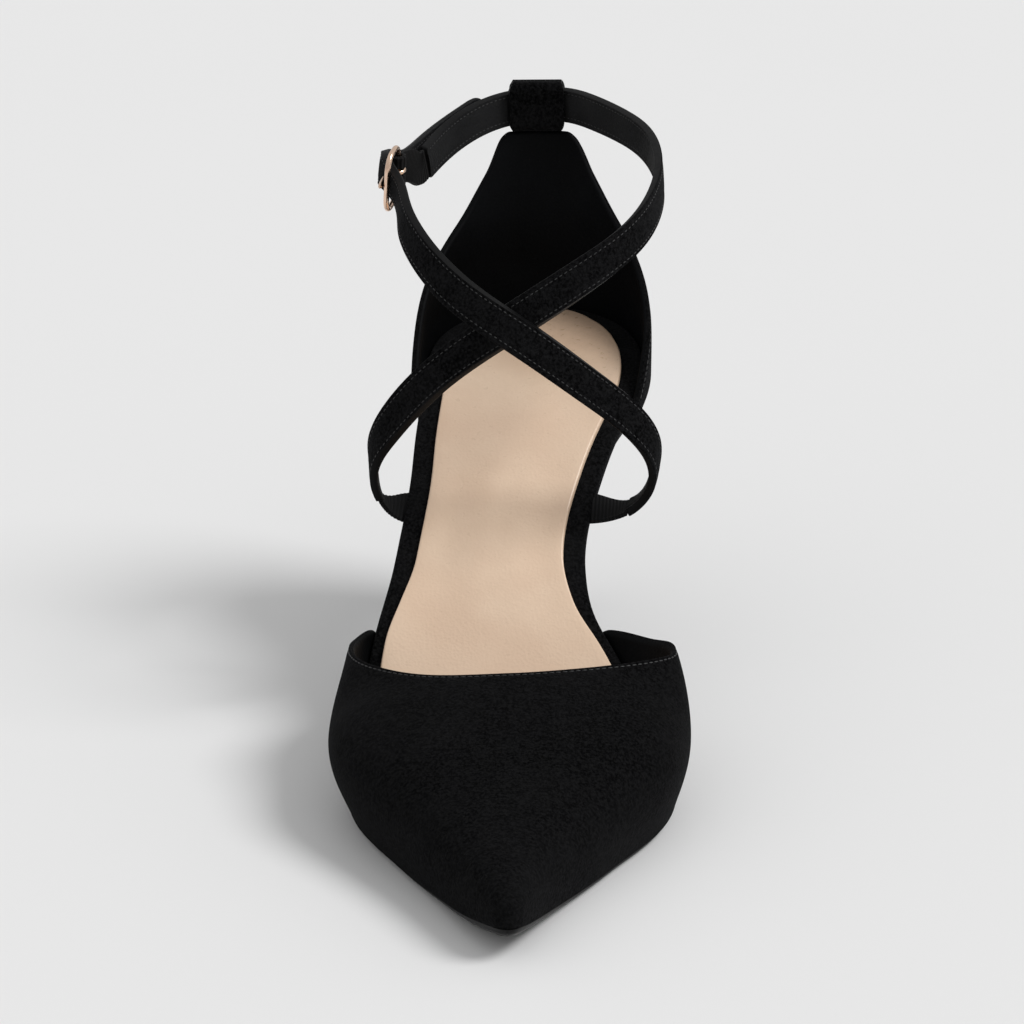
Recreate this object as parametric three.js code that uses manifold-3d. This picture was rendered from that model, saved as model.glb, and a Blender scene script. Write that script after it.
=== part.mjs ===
// Right shoe of a pair: a two-piece high heel with a pointed vamp, a closed heel and crossed ankle straps.
// Millimetres, +Z up, toe towards -Y, outer side towards -X. The origin is the middle of the ball's tread.
import * as THREE from 'three';
import Module from 'manifold-3d';

const wasm = await Module();
wasm.setup();

// Sizes of the foot bed and the last
const SOLE_LENGTH = 231.2;
const BALL_WIDTH = 72.6;
const WAIST_WIDTH = 46.1;
const SEAT_WIDTH = 55.2;
const HEEL_RISE = 73.5;
const TOE_SPRING = 5.4;
const TREAD_FRONT = 0.1854;
const TREAD_BACK = 0.3393;
const VAMP_HEIGHT = 35;
const ANKLE_HEIGHT = 53.6;

// Thicknesses and fits
const GAP = 0.3;
const OUTSOLE_THICKNESS = 1.8;
const BOARD_THICKNESS = 2.6;
const SOCK_THICKNESS = 1;
const SOCK_INSET = 5.3;
const SOCK_END_SHARE = 0.12;
const VAMP_WALL = 1.8;
const VAMP_ROUNDNESS = 5 / 6;
const COUNTER_WALL = 2;
const COUNTER_START = 0.7788;
const SOLE_SETBACK = 1;
const SOLE_BEVEL = 0.8;
const SEAT_SETBACK = 0.5;
const WAIST_SETBACK = 1;

// Straps, elastics and the back loop
const STRAP_WIDTH = 9;
const STRAP_THICKNESS = 2;
const ELASTIC_WIDTH = 8.5;
const ELASTIC_THICKNESS = 1.1;
const ANCHOR_LENGTH = 8;
const ANCHOR_GAP = 0.85;
const ANCHOR_ALONG = 0.657;
const LOOP_WIDTH = 14.5;
const LOOP_WALL = 1.2;
const LOOP_SLACK = 2.5;
const LOOP_PLAY = 1.6;
const LOOP_CORNER = 2.6;
const LOOP_UP = 1.003;

// Buckle
const FRAME_LENGTH = 16.4;
const FRAME_DEPTH = 11.5;
const FRAME_BAR = 1.4;
const FRAME_CORNER = 4;
const PRONG_THICKNESS = 1.2;
const PRONG_CLEARANCE = 0.4;
const BUCKLE_PITCH = 13;
const SEAM_LENGTH = 3;

// Heel and its top lift
const SEAT_DEPTH = 48;
const HEEL_SHIFT = 15;
const TIP_WIDTH = 9.5;
const TIP_DEPTH = 10.5;
const LIFT_HEIGHT = 5;
const BREAST_BOW = 0.08;

// Fineness of the faces
const SOLE_STEPS = 52;
const VAMP_AROUND = 34;
const VAMP_ALONG = 26;
const COUNTER_AROUND = 40;
const COUNTER_UP = 11;
const STRAP_STEPS = 54;
const HEEL_AROUND = 16;
const HEEL_DOWN = 13;
const BAR_SIDES = 8;
const BAR_CORNER_STEPS = 5;
const TUBE_SIDES = 12;
const ELASTIC_STEPS = 8;
const SHOULDER_STEPS = 4;
const STEP_SHARE = 0.001;
const STEP_LENGTH = 0.05;
const SAME_PLACE = 0.00013;

// Foot line seen from the side: how much of the heel's rise is reached along the sole, from toe to heel.
const FOOT_LINE = [
  { along: TREAD_BACK, rise: 0 },
  { along: 0.4117, rise: 0.06 },
  { along: 0.4942, rise: 0.205 },
  { along: 0.5967, rise: 0.46 },
  { along: 0.6998, rise: 0.7 },
  { along: 0.8029, rise: 0.865 },
  { along: 0.9055, rise: 0.9547 },
  { along: 1.0091, rise: 1 },
  { along: 1.0503, rise: 1.012 },
];

// Foot bed seen from above: half its width, and how far its middle lies to the inner side.
const FOOT_BED = [
  { along: 0, half: 0, centre: 0.025 * BALL_WIDTH },
  { along: 0.0203, half: 0.048 * BALL_WIDTH, centre: 0.017 * BALL_WIDTH },
  { along: 0.0636, half: 0.112 * BALL_WIDTH, centre: 0.002 * BALL_WIDTH },
  { along: 0.1155, half: 0.189 * BALL_WIDTH, centre: -0.004 * BALL_WIDTH },
  { along: 0.1609, half: 0.264 * BALL_WIDTH, centre: -0.008 * BALL_WIDTH },
  { along: 0.2042, half: 0.337 * BALL_WIDTH, centre: -0.01 * BALL_WIDTH },
  { along: 0.2647, half: 0.437 * BALL_WIDTH, centre: -0.011 * BALL_WIDTH },
  { along: 0.3209, half: 0.488 * BALL_WIDTH, centre: -0.015 * BALL_WIDTH },
  { along: 0.3814, half: 0.5 * BALL_WIDTH, centre: -0.026 * BALL_WIDTH },
  { along: 0.4248, half: 0.482 * BALL_WIDTH, centre: -0.043 * BALL_WIDTH },
  { along: 0.468, half: 0.449 * BALL_WIDTH, centre: -0.069 * BALL_WIDTH },
  { along: 0.5113, half: 0.409 * BALL_WIDTH, centre: -0.099 * BALL_WIDTH },
  { along: 0.5459, half: 0.57 * WAIST_WIDTH, centre: -0.123 * BALL_WIDTH },
  { along: 0.5848, half: 0.516 * WAIST_WIDTH, centre: -0.124 * BALL_WIDTH },
  { along: 0.6107, half: 0.5 * WAIST_WIDTH, centre: -0.119 * BALL_WIDTH },
  { along: 0.6842, half: 0.51 * WAIST_WIDTH, centre: -0.081 * BALL_WIDTH },
  { along: 0.7275, half: 0.449 * SEAT_WIDTH, centre: -0.058 * BALL_WIDTH },
  { along: 0.8141, half: 0.495 * SEAT_WIDTH, centre: -0.008 * BALL_WIDTH },
  { along: 0.8573, half: 0.5 * SEAT_WIDTH, centre: 0 },
  { along: 0.9005, half: 0.4765 * SEAT_WIDTH, centre: 0 },
  { along: 0.9438, half: 0.3977 * SEAT_WIDTH, centre: 0 },
  { along: 0.9784, half: 0.2645 * SEAT_WIDTH, centre: 0 },
  { along: 1, half: 0, centre: 0 },
];

// Sock lining: how far it stays inside the foot bed's edge.
const SOCK_EDGE = [
  { along: 0, inset: 0.5 * SOCK_INSET },
  { along: 0.52, inset: 0.6 * SOCK_INSET },
  { along: 0.56, inset: 0.8 * SOCK_INSET },
  { along: 0.6, inset: SOCK_INSET },
  { along: 0.9, inset: SOCK_INSET },
  { along: 1, inset: 0.7 * SOCK_INSET },
];

// Outsole: how far its edge stands outside the foot bed's edge.
const VAMP_RIM = GAP + VAMP_WALL - SOLE_SETBACK;
const SEAT_RIM = GAP + COUNTER_WALL - SEAT_SETBACK;
const SOLE_EDGE = [
  { along: 0, rim: VAMP_RIM },
  { along: 0.3, rim: VAMP_RIM },
  { along: 0.5, rim: VAMP_RIM },
  { along: 0.545, rim: 0.3 * VAMP_RIM },
  { along: 0.6, rim: -WAIST_SETBACK },
  { along: 0.73, rim: -WAIST_SETBACK },
  { along: 0.79, rim: 0.5 * SEAT_RIM },
  { along: 0.84, rim: SEAT_RIM },
  { along: 1, rim: SEAT_RIM },
];

// Vamp: its ridge above the feather edge, and how far each side bulges past that edge.
const VAMP_FORM = [
  { along: 0, ridge: 0.13 * VAMP_HEIGHT, outer: 0, inner: 0 },
  { along: 0.0182, ridge: 0.27 * VAMP_HEIGHT, outer: 0.004 * BALL_WIDTH, inner: 0.004 * BALL_WIDTH },
  { along: 0.0701, ridge: 0.415 * VAMP_HEIGHT, outer: 0.016 * BALL_WIDTH, inner: 0.014 * BALL_WIDTH },
  { along: 0.1306, ridge: 0.555 * VAMP_HEIGHT, outer: 0.045 * BALL_WIDTH, inner: 0.038 * BALL_WIDTH },
  { along: 0.1825, ridge: 0.665 * VAMP_HEIGHT, outer: 0.078 * BALL_WIDTH, inner: 0.066 * BALL_WIDTH },
  { along: 0.2777, ridge: 0.83 * VAMP_HEIGHT, outer: 0.132 * BALL_WIDTH, inner: 0.108 * BALL_WIDTH },
  { along: 0.3296, ridge: 0.9 * VAMP_HEIGHT, outer: 0.13 * BALL_WIDTH, inner: 0.112 * BALL_WIDTH },
  { along: 0.3814, ridge: 0.957 * VAMP_HEIGHT, outer: 0.11 * BALL_WIDTH, inner: 0.12 * BALL_WIDTH },
  { along: 0.4248, ridge: VAMP_HEIGHT, outer: 0.085 * BALL_WIDTH, inner: 0.134 * BALL_WIDTH },
  { along: 0.4771, ridge: 1.03 * VAMP_HEIGHT, outer: 0.06 * BALL_WIDTH, inner: 0.146 * BALL_WIDTH },
  { along: 0.5575, ridge: 1.05 * VAMP_HEIGHT, outer: 0.01 * BALL_WIDTH, inner: 0.118 * BALL_WIDTH },
];

// Vamp topline: round from the outer feather edge over the throat to the inner one.
const VAMP_TOPLINE = [
  { round: 0, along: 0.543 },
  { round: 0.06, along: 0.5055 },
  { round: 0.12, along: 0.4729 },
  { round: 0.18, along: 0.4417 },
  { round: 0.25, along: 0.4074 },
  { round: 0.33, along: 0.374 },
  { round: 0.42, along: 0.3465 },
  { round: 0.5, along: 0.3442 },
  { round: 0.58, along: 0.3575 },
  { round: 0.66, along: 0.3789 },
  { round: 0.74, along: 0.4057 },
  { round: 0.8, along: 0.4315 },
  { round: 0.86, along: 0.4636 },
  { round: 0.92, along: 0.4925 },
  { round: 1, along: 0.5415 },
];

// Counter: its height at the back reaches up to the loop.
const LOOP_RISE = BOARD_THICKNESS + LOOP_UP * ANKLE_HEIGHT;
const COUNTER_HEIGHT = LOOP_RISE - (STRAP_WIDTH + LOOP_PLAY) / 2 - LOOP_WALL - GAP;

// Counter topline: round from the middle of the back to the front corner of either side.
const COUNTER_TOPLINE = [
  { round: 0, height: COUNTER_HEIGHT },
  { round: 0.14, height: COUNTER_HEIGHT },
  { round: 0.175, height: 0.98 * COUNTER_HEIGHT },
  { round: 0.269, height: 0.8 * COUNTER_HEIGHT },
  { round: 0.394, height: 0.63 * COUNTER_HEIGHT },
  { round: 0.5, height: 0.535 * COUNTER_HEIGHT },
  { round: 0.611, height: 0.445 * COUNTER_HEIGHT },
  { round: 0.75, height: 0.335 * COUNTER_HEIGHT },
  { round: 0.88, height: 0.225 * COUNTER_HEIGHT },
  { round: 1, height: 0.085 * COUNTER_HEIGHT },
];

// Counter on its way up: how far its wall leans out of the seat's edge, and sways to the inner side.
const COUNTER_LEAN = [
  { up: 0, out: 0, sway: 0 },
  { up: 0.15, out: 0.2 * COUNTER_WALL, sway: -0.12 * COUNTER_WALL },
  { up: 0.27, out: 0.12 * COUNTER_WALL, sway: -0.08 * COUNTER_WALL },
  { up: 0.42, out: -0.28 * COUNTER_WALL, sway: 0.06 * COUNTER_WALL },
  { up: 0.56, out: -0.42 * COUNTER_WALL, sway: 0.24 * COUNTER_WALL },
  { up: 0.72, out: -0.2 * COUNTER_WALL, sway: 0.28 * COUNTER_WALL },
  { up: 0.87, out: -0.08 * COUNTER_WALL, sway: 0.32 * COUNTER_WALL },
  { up: 1, out: 0.05 * COUNTER_WALL, sway: 0.15 * COUNTER_WALL },
];

// Heel from the seat down to the top lift: its back line, its depth and its width.
const HEEL_FORM = [
  { down: 0, shift: 0, depth: 1, width: 1 },
  { down: 0.06, shift: 0.03, depth: 0.84, width: 0.93 },
  { down: 0.15, shift: 0.12, depth: 0.57, width: 0.72 },
  { down: 0.3, shift: 0.37, depth: 0.33, width: 0.42 },
  { down: 0.5, shift: 0.67, depth: 0.17, width: 0.19 },
  { down: 0.75, shift: 0.89, depth: 0.06, width: 0.06 },
  { down: 1, shift: 1, depth: 0, width: 0 },
];

// Strap rows: place along the sole, across it and above the foot bed, and the way the strap faces,
// as a turn from the toe towards the inner side and a tip upwards, in degrees.
const OVER_FRONT = [
  { along: 0.6555, across: 0.345, up: -0.02, turn: 90, tip: -66 },
  { along: 0.645, across: 0.425, up: 0.165, turn: 92, tip: -30 },
  { along: 0.6345, across: 0.425, up: 0.355, turn: 72, tip: 2 },
  { along: 0.624, across: 0.362, up: 0.535, turn: 42, tip: 18 },
  { along: 0.609, across: 0.225, up: 0.765, turn: 22, tip: 20 },
  { along: 0.5995, across: 0.01, up: 1.03, turn: 2, tip: 18 },
  { along: 0.62, across: -0.211, up: 1.155, turn: -22, tip: 12 },
  { along: 0.6581, across: -0.331, up: 1.16, turn: -45, tip: 9 },
  { along: 0.7104, across: -0.407, up: 1.128, turn: -66, tip: 6 },
];
const OVER_END = [
  { along: 0.8532, across: -0.468, up: 0.965, turn: -104, tip: 0 },
  { along: 0.9236, across: -0.377, up: 0.921, turn: -122, tip: 0 },
  { along: 1.0035, across: -0.184, up: 0.996, turn: -145, tip: 0 },
];
const UNDER_STRAP = [
  { along: 0.6555, across: -0.485, up: 0, turn: -90, tip: -58 },
  { along: 0.647, across: -0.516, up: 0.145, turn: -92, tip: -30 },
  { along: 0.638, across: -0.512, up: 0.32, turn: -74, tip: 0 },
  { along: 0.629, across: -0.455, up: 0.5, turn: -44, tip: 16 },
  { along: 0.621, across: -0.295, up: 0.77, turn: -22, tip: 20 },
  { along: 0.6235, across: -0.032, up: 1.012, turn: 0, tip: 18 },
  { along: 0.6385, across: 0.193, up: 1.151, turn: 22, tip: 12 },
  { along: 0.6712, across: 0.344, up: 1.174, turn: 50, tip: 8 },
  { along: 0.7315, across: 0.427, up: 1.112, turn: 74, tip: 5 },
  { along: 0.8049, across: 0.444, up: 1.055, turn: 92, tip: 2 },
  { along: 0.8793, across: 0.391, up: 1.028, turn: 118, tip: 0 },
  { along: 0.9306, across: 0.309, up: 1.012, turn: 132, tip: 0 },
  { along: 0.9739, across: 0.202, up: 1.01, turn: 150, tip: 0 },
  { along: 1.002, across: 0.103, up: 1.007, turn: 168, tip: 0 },
  { along: 1.0091, across: 0, up: LOOP_UP, turn: 180, tip: 0 },
  { along: 1.002, across: -0.103, up: 0.99, turn: 192, tip: 0 },
  { along: 0.9718, across: -0.223, up: 0.968, turn: 214, tip: 0 },
  { along: 0.9266, across: -0.325, up: 0.929, turn: 234, tip: 0 },
  { along: 0.8894, across: -0.375, up: 0.913, turn: 244, tip: 0 },
];
const BUCKLE = { along: 0.7913, across: -0.468, up: 1.066, turn: -100, tip: 7 };

// Smooth curve through the rows of a table, with a level start where that is asked for.
function smoothCurve(xs, ys, levelStart = false) {
  const count = xs.length;
  const bend = new Array(count).fill(0);
  const carry = new Array(count).fill(0);
  if (levelStart) {
    bend[0] = -0.5;
    carry[0] = 3 * (ys[1] - ys[0]) / (xs[1] - xs[0]) ** 2;
  }
  for (let i = 1; i < count - 1; i += 1) {
    const share = (xs[i] - xs[i - 1]) / (xs[i + 1] - xs[i - 1]);
    const pivot = share * bend[i - 1] + 2;
    const before = (ys[i] - ys[i - 1]) / (xs[i] - xs[i - 1]);
    const after = (ys[i + 1] - ys[i]) / (xs[i + 1] - xs[i]);
    bend[i] = (share - 1) / pivot;
    carry[i] = (6 * (after - before) / (xs[i + 1] - xs[i - 1]) - share * carry[i - 1]) / pivot;
  }
  bend[count - 1] = 0;
  for (let i = count - 2; i >= 0; i -= 1) {
    bend[i] = bend[i] * bend[i + 1] + carry[i];
  }
  return x => {
    let i = 1;
    while (i < count - 1 && x > xs[i]) {
      i += 1;
    }
    const step = xs[i] - xs[i - 1];
    const a = (xs[i] - x) / step;
    const b = (x - xs[i - 1]) / step;
    const curve = (a ** 3 - a) * bend[i - 1] + (b ** 3 - b) * bend[i];
    return a * ys[i - 1] + b * ys[i] + curve * step * step / 6;
  };
}

const column = (table, name) => table.map(row => row[name]);
const curveOf = (table, key, name) => smoothCurve(column(table, key), column(table, name));

// Steady curve through a table's rows: it never swings past them.
function steadyCurve(table, key, name) {
  const xs = column(table, key);
  const ys = column(table, name);
  const slopes = xs.slice(1).map((x, i) => (ys[i + 1] - ys[i]) / (x - xs[i]));
  const tangents = xs.map((_, i) => {
    const before = slopes[i - 1] ?? 0;
    const after = slopes[i] ?? 0;
    return before * after > 0 ? 2 * before * after / (before + after) : 0;
  });
  return x => {
    let i = 1;
    while (i < xs.length - 1 && x > xs[i]) {
      i += 1;
    }
    const step = xs[i] - xs[i - 1];
    const t = THREE.MathUtils.clamp((x - xs[i - 1]) / step, 0, 1);
    const start = (1 + 2 * t) * (1 - t) ** 2 * ys[i - 1] + t * (1 - t) ** 2 * step * tangents[i - 1];
    return start + t * t * (3 - 2 * t) * ys[i] + t * t * (t - 1) * step * tangents[i];
  };
}

// A station runs from the toe at 0 to the heel at 1, closer together at both ends.
const toStation = along => Math.acos(1 - 2 * THREE.MathUtils.clamp(along, 0, 1)) / Math.PI;
const toAlong = station => (1 - Math.cos(Math.PI * station)) / 2;
const stationCurve = (table, name) => smoothCurve(column(table, 'along').map(toStation), column(table, name));

const TOE_Y = -SOLE_LENGTH * (TREAD_FRONT + TREAD_BACK) / 2;
const riseAt = smoothCurve(column(FOOT_LINE, 'along'), column(FOOT_LINE, 'rise'), true);
const bedHalf = stationCurve(FOOT_BED, 'half');
const bedCentre = stationCurve(FOOT_BED, 'centre');

// Height of the outsole's underside above the floor at a share of the length.
function footLine(along) {
  if (along < TREAD_FRONT) {
    const share = (TREAD_FRONT - along) / TREAD_FRONT;
    return TOE_SPRING * share * share;
  }
  if (along < TREAD_BACK) {
    return 0;
  }
  return HEEL_RISE * riseAt(Math.min(along, FOOT_LINE.at(-1).along));
}

// Height of a layer that lies a depth above the outsole's underside, measured square to it.
function levelAt(y, depth) {
  const along = (y - TOE_Y) / SOLE_LENGTH;
  const rise = footLine(along + STEP_SHARE) - footLine(along - STEP_SHARE);
  const slope = rise / (2 * STEP_SHARE * SOLE_LENGTH);
  return footLine(along) + depth * Math.sqrt(1 + slope * slope);
}

// Point on the foot bed's edge, and the same point moved outwards by a margin. Side is 1 for the inner side.
function bedPoint(station, side) {
  const x = bedCentre(station) + side * bedHalf(station);
  return new THREE.Vector2(x, TOE_Y + SOLE_LENGTH * toAlong(station));
}

function edgePoint(station, side, margin) {
  const run = bedPoint(station + STEP_SHARE, side).sub(bedPoint(station - STEP_SHARE, side)).normalize();
  const out = new THREE.Vector2(run.y, -run.x).multiplyScalar(side * margin);
  return bedPoint(station, side).add(out);
}

// Triangles of a grid of points, as corner triples.
function gridTriangles(grid) {
  const triangles = [];
  for (let i = 0; i < grid.length - 1; i += 1) {
    for (let j = 0; j < grid[i].length - 1; j += 1) {
      triangles.push([grid[i][j], grid[i + 1][j], grid[i + 1][j + 1]]);
      triangles.push([grid[i][j], grid[i + 1][j + 1], grid[i][j + 1]]);
    }
  }
  return triangles;
}

// Closed geometry from triangles: equal corners are joined, and the faces are turned outwards.
function closedGeometry(triangles) {
  const places = new Map();
  const positions = [];
  const indices = [];
  let volume = 0;
  const placeOf = point => {
    const key = point.toArray().map(value => Math.round(value / SAME_PLACE)).join();
    if (!places.has(key)) {
      places.set(key, positions.length / 3);
      positions.push(point.x, point.y, point.z);
    }
    return places.get(key);
  };
  for (const [a, b, c] of triangles) {
    const corners = [placeOf(a), placeOf(b), placeOf(c)];
    if (new Set(corners).size === 3) {
      indices.push(...corners);
      volume += a.dot(b.clone().cross(c));
    }
  }
  if (volume < 0) {
    indices.reverse();
  }
  const geometry = new THREE.BufferGeometry();
  geometry.setAttribute('position', new THREE.Float32BufferAttribute(positions, 3));
  geometry.setIndex(indices);
  return geometry;
}

// Solid between two grids of the same make: outer face, inner face and the four borders. Where the first
// column folds onto itself, as at a pointed toe, it needs no border.
function solidBetween(outer, inner, folded = false) {
  const last = outer[0].length - 1;
  const flipped = inner.map(row => [...row].reverse());
  const start = folded ? [] : gridTriangles(outer.map((row, i) => [inner[i][0], row[0]]));
  return closedGeometry([
    ...gridTriangles(outer),
    ...gridTriangles(flipped),
    ...gridTriangles([inner[0], outer[0]]),
    ...gridTriangles([outer.at(-1), inner.at(-1)]),
    ...start,
    ...gridTriangles(outer.map((row, i) => [row[last], inner[i][last]])),
  ]);
}

// Solid through rings of points, capped by pairing each ring's two halves.
function capTriangles(ring) {
  const half = ring.length / 2;
  const rows = [];
  for (let i = 0; i <= half; i += 1) {
    rows.push([ring[i], ring[(ring.length - i) % ring.length]]);
  }
  return gridTriangles(rows);
}

function solidThrough(rings) {
  const closed = rings.map(ring => [...ring, ring[0]]);
  const end = capTriangles(rings.at(-1)).map(([a, b, c]) => [a, c, b]);
  return closedGeometry([...gridTriangles(closed), ...capTriangles(rings[0]), ...end]);
}

// Joining and cutting
function toBody(geometry) {
  return new wasm.Manifold(new wasm.Mesh({
    numProp: 3,
    vertProperties: new Float32Array(geometry.attributes.position.array),
    triVerts: new Uint32Array(geometry.index.array),
  }));
}

function fromBody(body) {
  const { vertProperties, triVerts, numProp } = body.getMesh();
  const corner = index => new THREE.Vector3().fromArray(vertProperties, index * numProp);
  const triangles = [];
  for (let i = 0; i < triVerts.length; i += 3) {
    triangles.push([corner(triVerts[i]), corner(triVerts[i + 1]), corner(triVerts[i + 2])]);
  }
  return closedGeometry(triangles);
}

const sampled = (count, make) => Array.from({ length: count + 1 }, (_, i) => make(i / count));

// Foot bed layers
function layer(edge, low, high, bevel = 0) {
  const rows = (depth, inset) => sampled(SOLE_STEPS, station => [-1, 1].map(side => {
    const { x, y } = edge(station, side, inset);
    return new THREE.Vector3(x, y, levelAt(y, depth));
  }));
  return solidBetween(rows(high, 0), rows(low, bevel));
}

const soleRim = steadyCurve(SOLE_EDGE, 'along', 'rim');
const sockInset = steadyCurve(SOCK_EDGE, 'along', 'inset');
const BOARD_LOW = OUTSOLE_THICKNESS + GAP;
const BOARD_HIGH = BOARD_LOW + BOARD_THICKNESS;
const SOCK_LOW = BOARD_HIGH + GAP;
const SOCK_HIGH = SOCK_LOW + SOCK_THICKNESS;

const soleEdge = (station, side, inset) => edgePoint(station, side, soleRim(toAlong(station)) - inset);
const boardEdge = (station, side) => edgePoint(station, side, 0);

function sockEdge(station, side) {
  const inset = sockInset(toAlong(station));
  const fade = Math.min(1, Math.sin(Math.PI * station) / Math.sin(Math.PI * SOCK_END_SHARE));
  const front = sockInset(0);
  const back = sockInset(1);
  const x = bedCentre(station) + side * (bedHalf(station) - inset * fade);
  return new THREE.Vector2(x, TOE_Y + front + (SOLE_LENGTH - front - back) * toAlong(station));
}

// Vamp: a wall over the toes, open behind its topline and underneath
const vampRidge = stationCurve(VAMP_FORM, 'ridge');
const vampOuter = stationCurve(VAMP_FORM, 'outer');
const vampInner = stationCurve(VAMP_FORM, 'inner');
const vampTopline = curveOf(VAMP_TOPLINE, 'round', 'along');

function vampPoint(round, share, inward) {
  const station = share * toStation(vampTopline(round));
  const angle = Math.PI * round;
  const margin = GAP + VAMP_WALL - inward;
  const outer = edgePoint(station, -1, margin);
  const inner = edgePoint(station, 1, margin);
  const across = Math.sign(Math.cos(angle)) * Math.abs(Math.cos(angle)) ** VAMP_ROUNDNESS;
  const up = Math.sin(angle) ** VAMP_ROUNDNESS;
  const bulge = (round < 0.5 ? vampOuter(station) : vampInner(station)) * Math.sin(2 * angle);
  const mix = (1 - across) / 2;
  const x = THREE.MathUtils.lerp(outer.x, inner.x, mix) - bulge;
  const y = THREE.MathUtils.lerp(outer.y, inner.y, mix);
  const ridge = vampRidge(station);
  const thinned = ridge - inward * (1 - Math.exp(-ridge / (2 * VAMP_WALL)));
  return new THREE.Vector3(x, y, levelAt(y, BOARD_LOW) + thinned * up);
}

function vampShell() {
  const face = inward => sampled(VAMP_AROUND, round => {
    return sampled(VAMP_ALONG, share => vampPoint(round, share, inward));
  });
  return solidBetween(face(0), face(VAMP_WALL), true);
}

// Counter: a wall round the heel, highest in the middle of the back
const counterTop = steadyCurve(COUNTER_TOPLINE, 'round', 'height');
const counterLean = curveOf(COUNTER_LEAN, 'up', 'out');
const counterSway = curveOf(COUNTER_LEAN, 'up', 'sway');

function counterPoint(round, share, inward) {
  const front = toStation(COUNTER_START);
  const station = 1 - Math.abs(round) * (1 - front);
  const height = counterTop(Math.abs(round)) * share;
  const up = height / COUNTER_HEIGHT;
  const margin = GAP + COUNTER_WALL - inward + counterLean(up);
  const { x, y } = edgePoint(station, round < 0 ? -1 : 1, margin);
  return new THREE.Vector3(x + counterSway(up), y, levelAt(y, BOARD_LOW) + height);
}

function counterShell() {
  const face = inward => sampled(COUNTER_AROUND, turn => {
    return sampled(COUNTER_UP, share => counterPoint(2 * turn - 1, share, inward));
  });
  return solidBetween(face(0), face(COUNTER_WALL));
}

// Heel: copies of the seat's outline that shrink and move forward on the way down
const heelShift = curveOf(HEEL_FORM, 'down', 'shift');
const heelDepth = curveOf(HEEL_FORM, 'down', 'depth');
const heelWidth = curveOf(HEEL_FORM, 'down', 'width');
const SEAT_BACK_Y = TOE_Y + SOLE_LENGTH + SEAT_RIM;

function seatRing() {
  const front = toStation((SEAT_BACK_Y - SEAT_DEPTH - TOE_Y) / SOLE_LENGTH);
  const sides = [-1, 1].map(side => sampled(HEEL_AROUND, share => {
    return edgePoint(1 - share * (1 - front), side, SEAT_RIM - SEAT_SETBACK);
  }));
  const [left, right] = sides;
  const breast = sampled(HEEL_AROUND, share => {
    const point = left.at(-1).clone().lerp(right.at(-1), share);
    point.y += SEAT_DEPTH * BREAST_BOW * Math.sin(Math.PI * share);
    return point;
  }).slice(1, -1);
  return [...left, ...breast, ...right.reverse().slice(0, -1)];
}

function heelRing(down, low) {
  const back = SEAT_BACK_Y - SEAT_SETBACK;
  const width = THREE.MathUtils.lerp(TIP_WIDTH, SEAT_WIDTH, heelWidth(down)) / SEAT_WIDTH;
  const depth = THREE.MathUtils.lerp(TIP_DEPTH, SEAT_DEPTH, heelDepth(down)) / SEAT_DEPTH;
  return seatRing().map(point => {
    const y = back - HEEL_SHIFT * heelShift(down) - (back - point.y) * depth;
    const z = THREE.MathUtils.lerp(levelAt(point.y, -GAP), low, down);
    return new THREE.Vector3(point.x * width, y, z);
  });
}

function heelBlock() {
  return solidThrough(sampled(HEEL_DOWN, share => heelRing(share, LIFT_HEIGHT + GAP)));
}

function topLift() {
  const ring = heelRing(1, 0);
  return solidThrough([LIFT_HEIGHT, 0].map(z => ring.map(point => new THREE.Vector3(point.x, point.y, z))));
}

// Straps: a path with the way across, along and away from the ankle at each place
const facing = (turn, tip) => {
  const [a, b] = [turn, tip].map(THREE.MathUtils.degToRad);
  return new THREE.Vector3(Math.sin(a) * Math.cos(b), -Math.cos(a) * Math.cos(b), Math.sin(b));
};

const rowPlace = row => {
  const y = TOE_Y + SOLE_LENGTH * row.along;
  const bed = levelAt(Math.min(y, TOE_Y + SOLE_LENGTH), BOARD_HIGH);
  return new THREE.Vector3(row.across * BALL_WIDTH, y, bed + row.up * ANKLE_HEIGHT);
};

const strapNode = row => ({ place: rowPlace(row), out: facing(row.turn, row.tip) });

// The strap's root lies flat against the foot bed's side.
function anchorNode(side) {
  const { x, y } = edgePoint(toStation(ANCHOR_ALONG), side, ANCHOR_GAP);
  const middle = (BOARD_LOW + BOARD_HIGH) / 2;
  const rise = levelAt(y + STEP_LENGTH, middle) - levelAt(y - STEP_LENGTH, middle);
  const slope = rise / (2 * STEP_LENGTH);
  return {
    place: new THREE.Vector3(x, y, levelAt(y, middle)),
    out: new THREE.Vector3(0, slope, -1).normalize(),
  };
}

function pathThrough(nodes) {
  const runs = [0];
  for (let i = 1; i < nodes.length; i += 1) {
    runs.push(runs[i - 1] + nodes[i].place.distanceTo(nodes[i - 1].place));
  }
  const axes = ['x', 'y', 'z'];
  const place = axes.map(axis => smoothCurve(runs, nodes.map(node => node.place[axis])));
  const out = axes.map(axis => smoothCurve(runs, nodes.map(node => node.out[axis])));
  const vector = (curves, run) => new THREE.Vector3(...curves.map(curve => curve(run)));
  const frameAt = run => {
    const along = vector(place, run + STEP_LENGTH).sub(vector(place, run - STEP_LENGTH)).normalize();
    const away = vector(out, run);
    away.addScaledVector(along, -away.dot(along)).normalize();
    return { place: vector(place, run), along, away, across: away.clone().cross(along) };
  };
  return { frameAt, length: runs.at(-1), runs };
}

const inFrame = (frame, across, away, along = 0) => frame.place.clone()
  .addScaledVector(frame.across, across)
  .addScaledVector(frame.away, away)
  .addScaledVector(frame.along, along);

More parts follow.
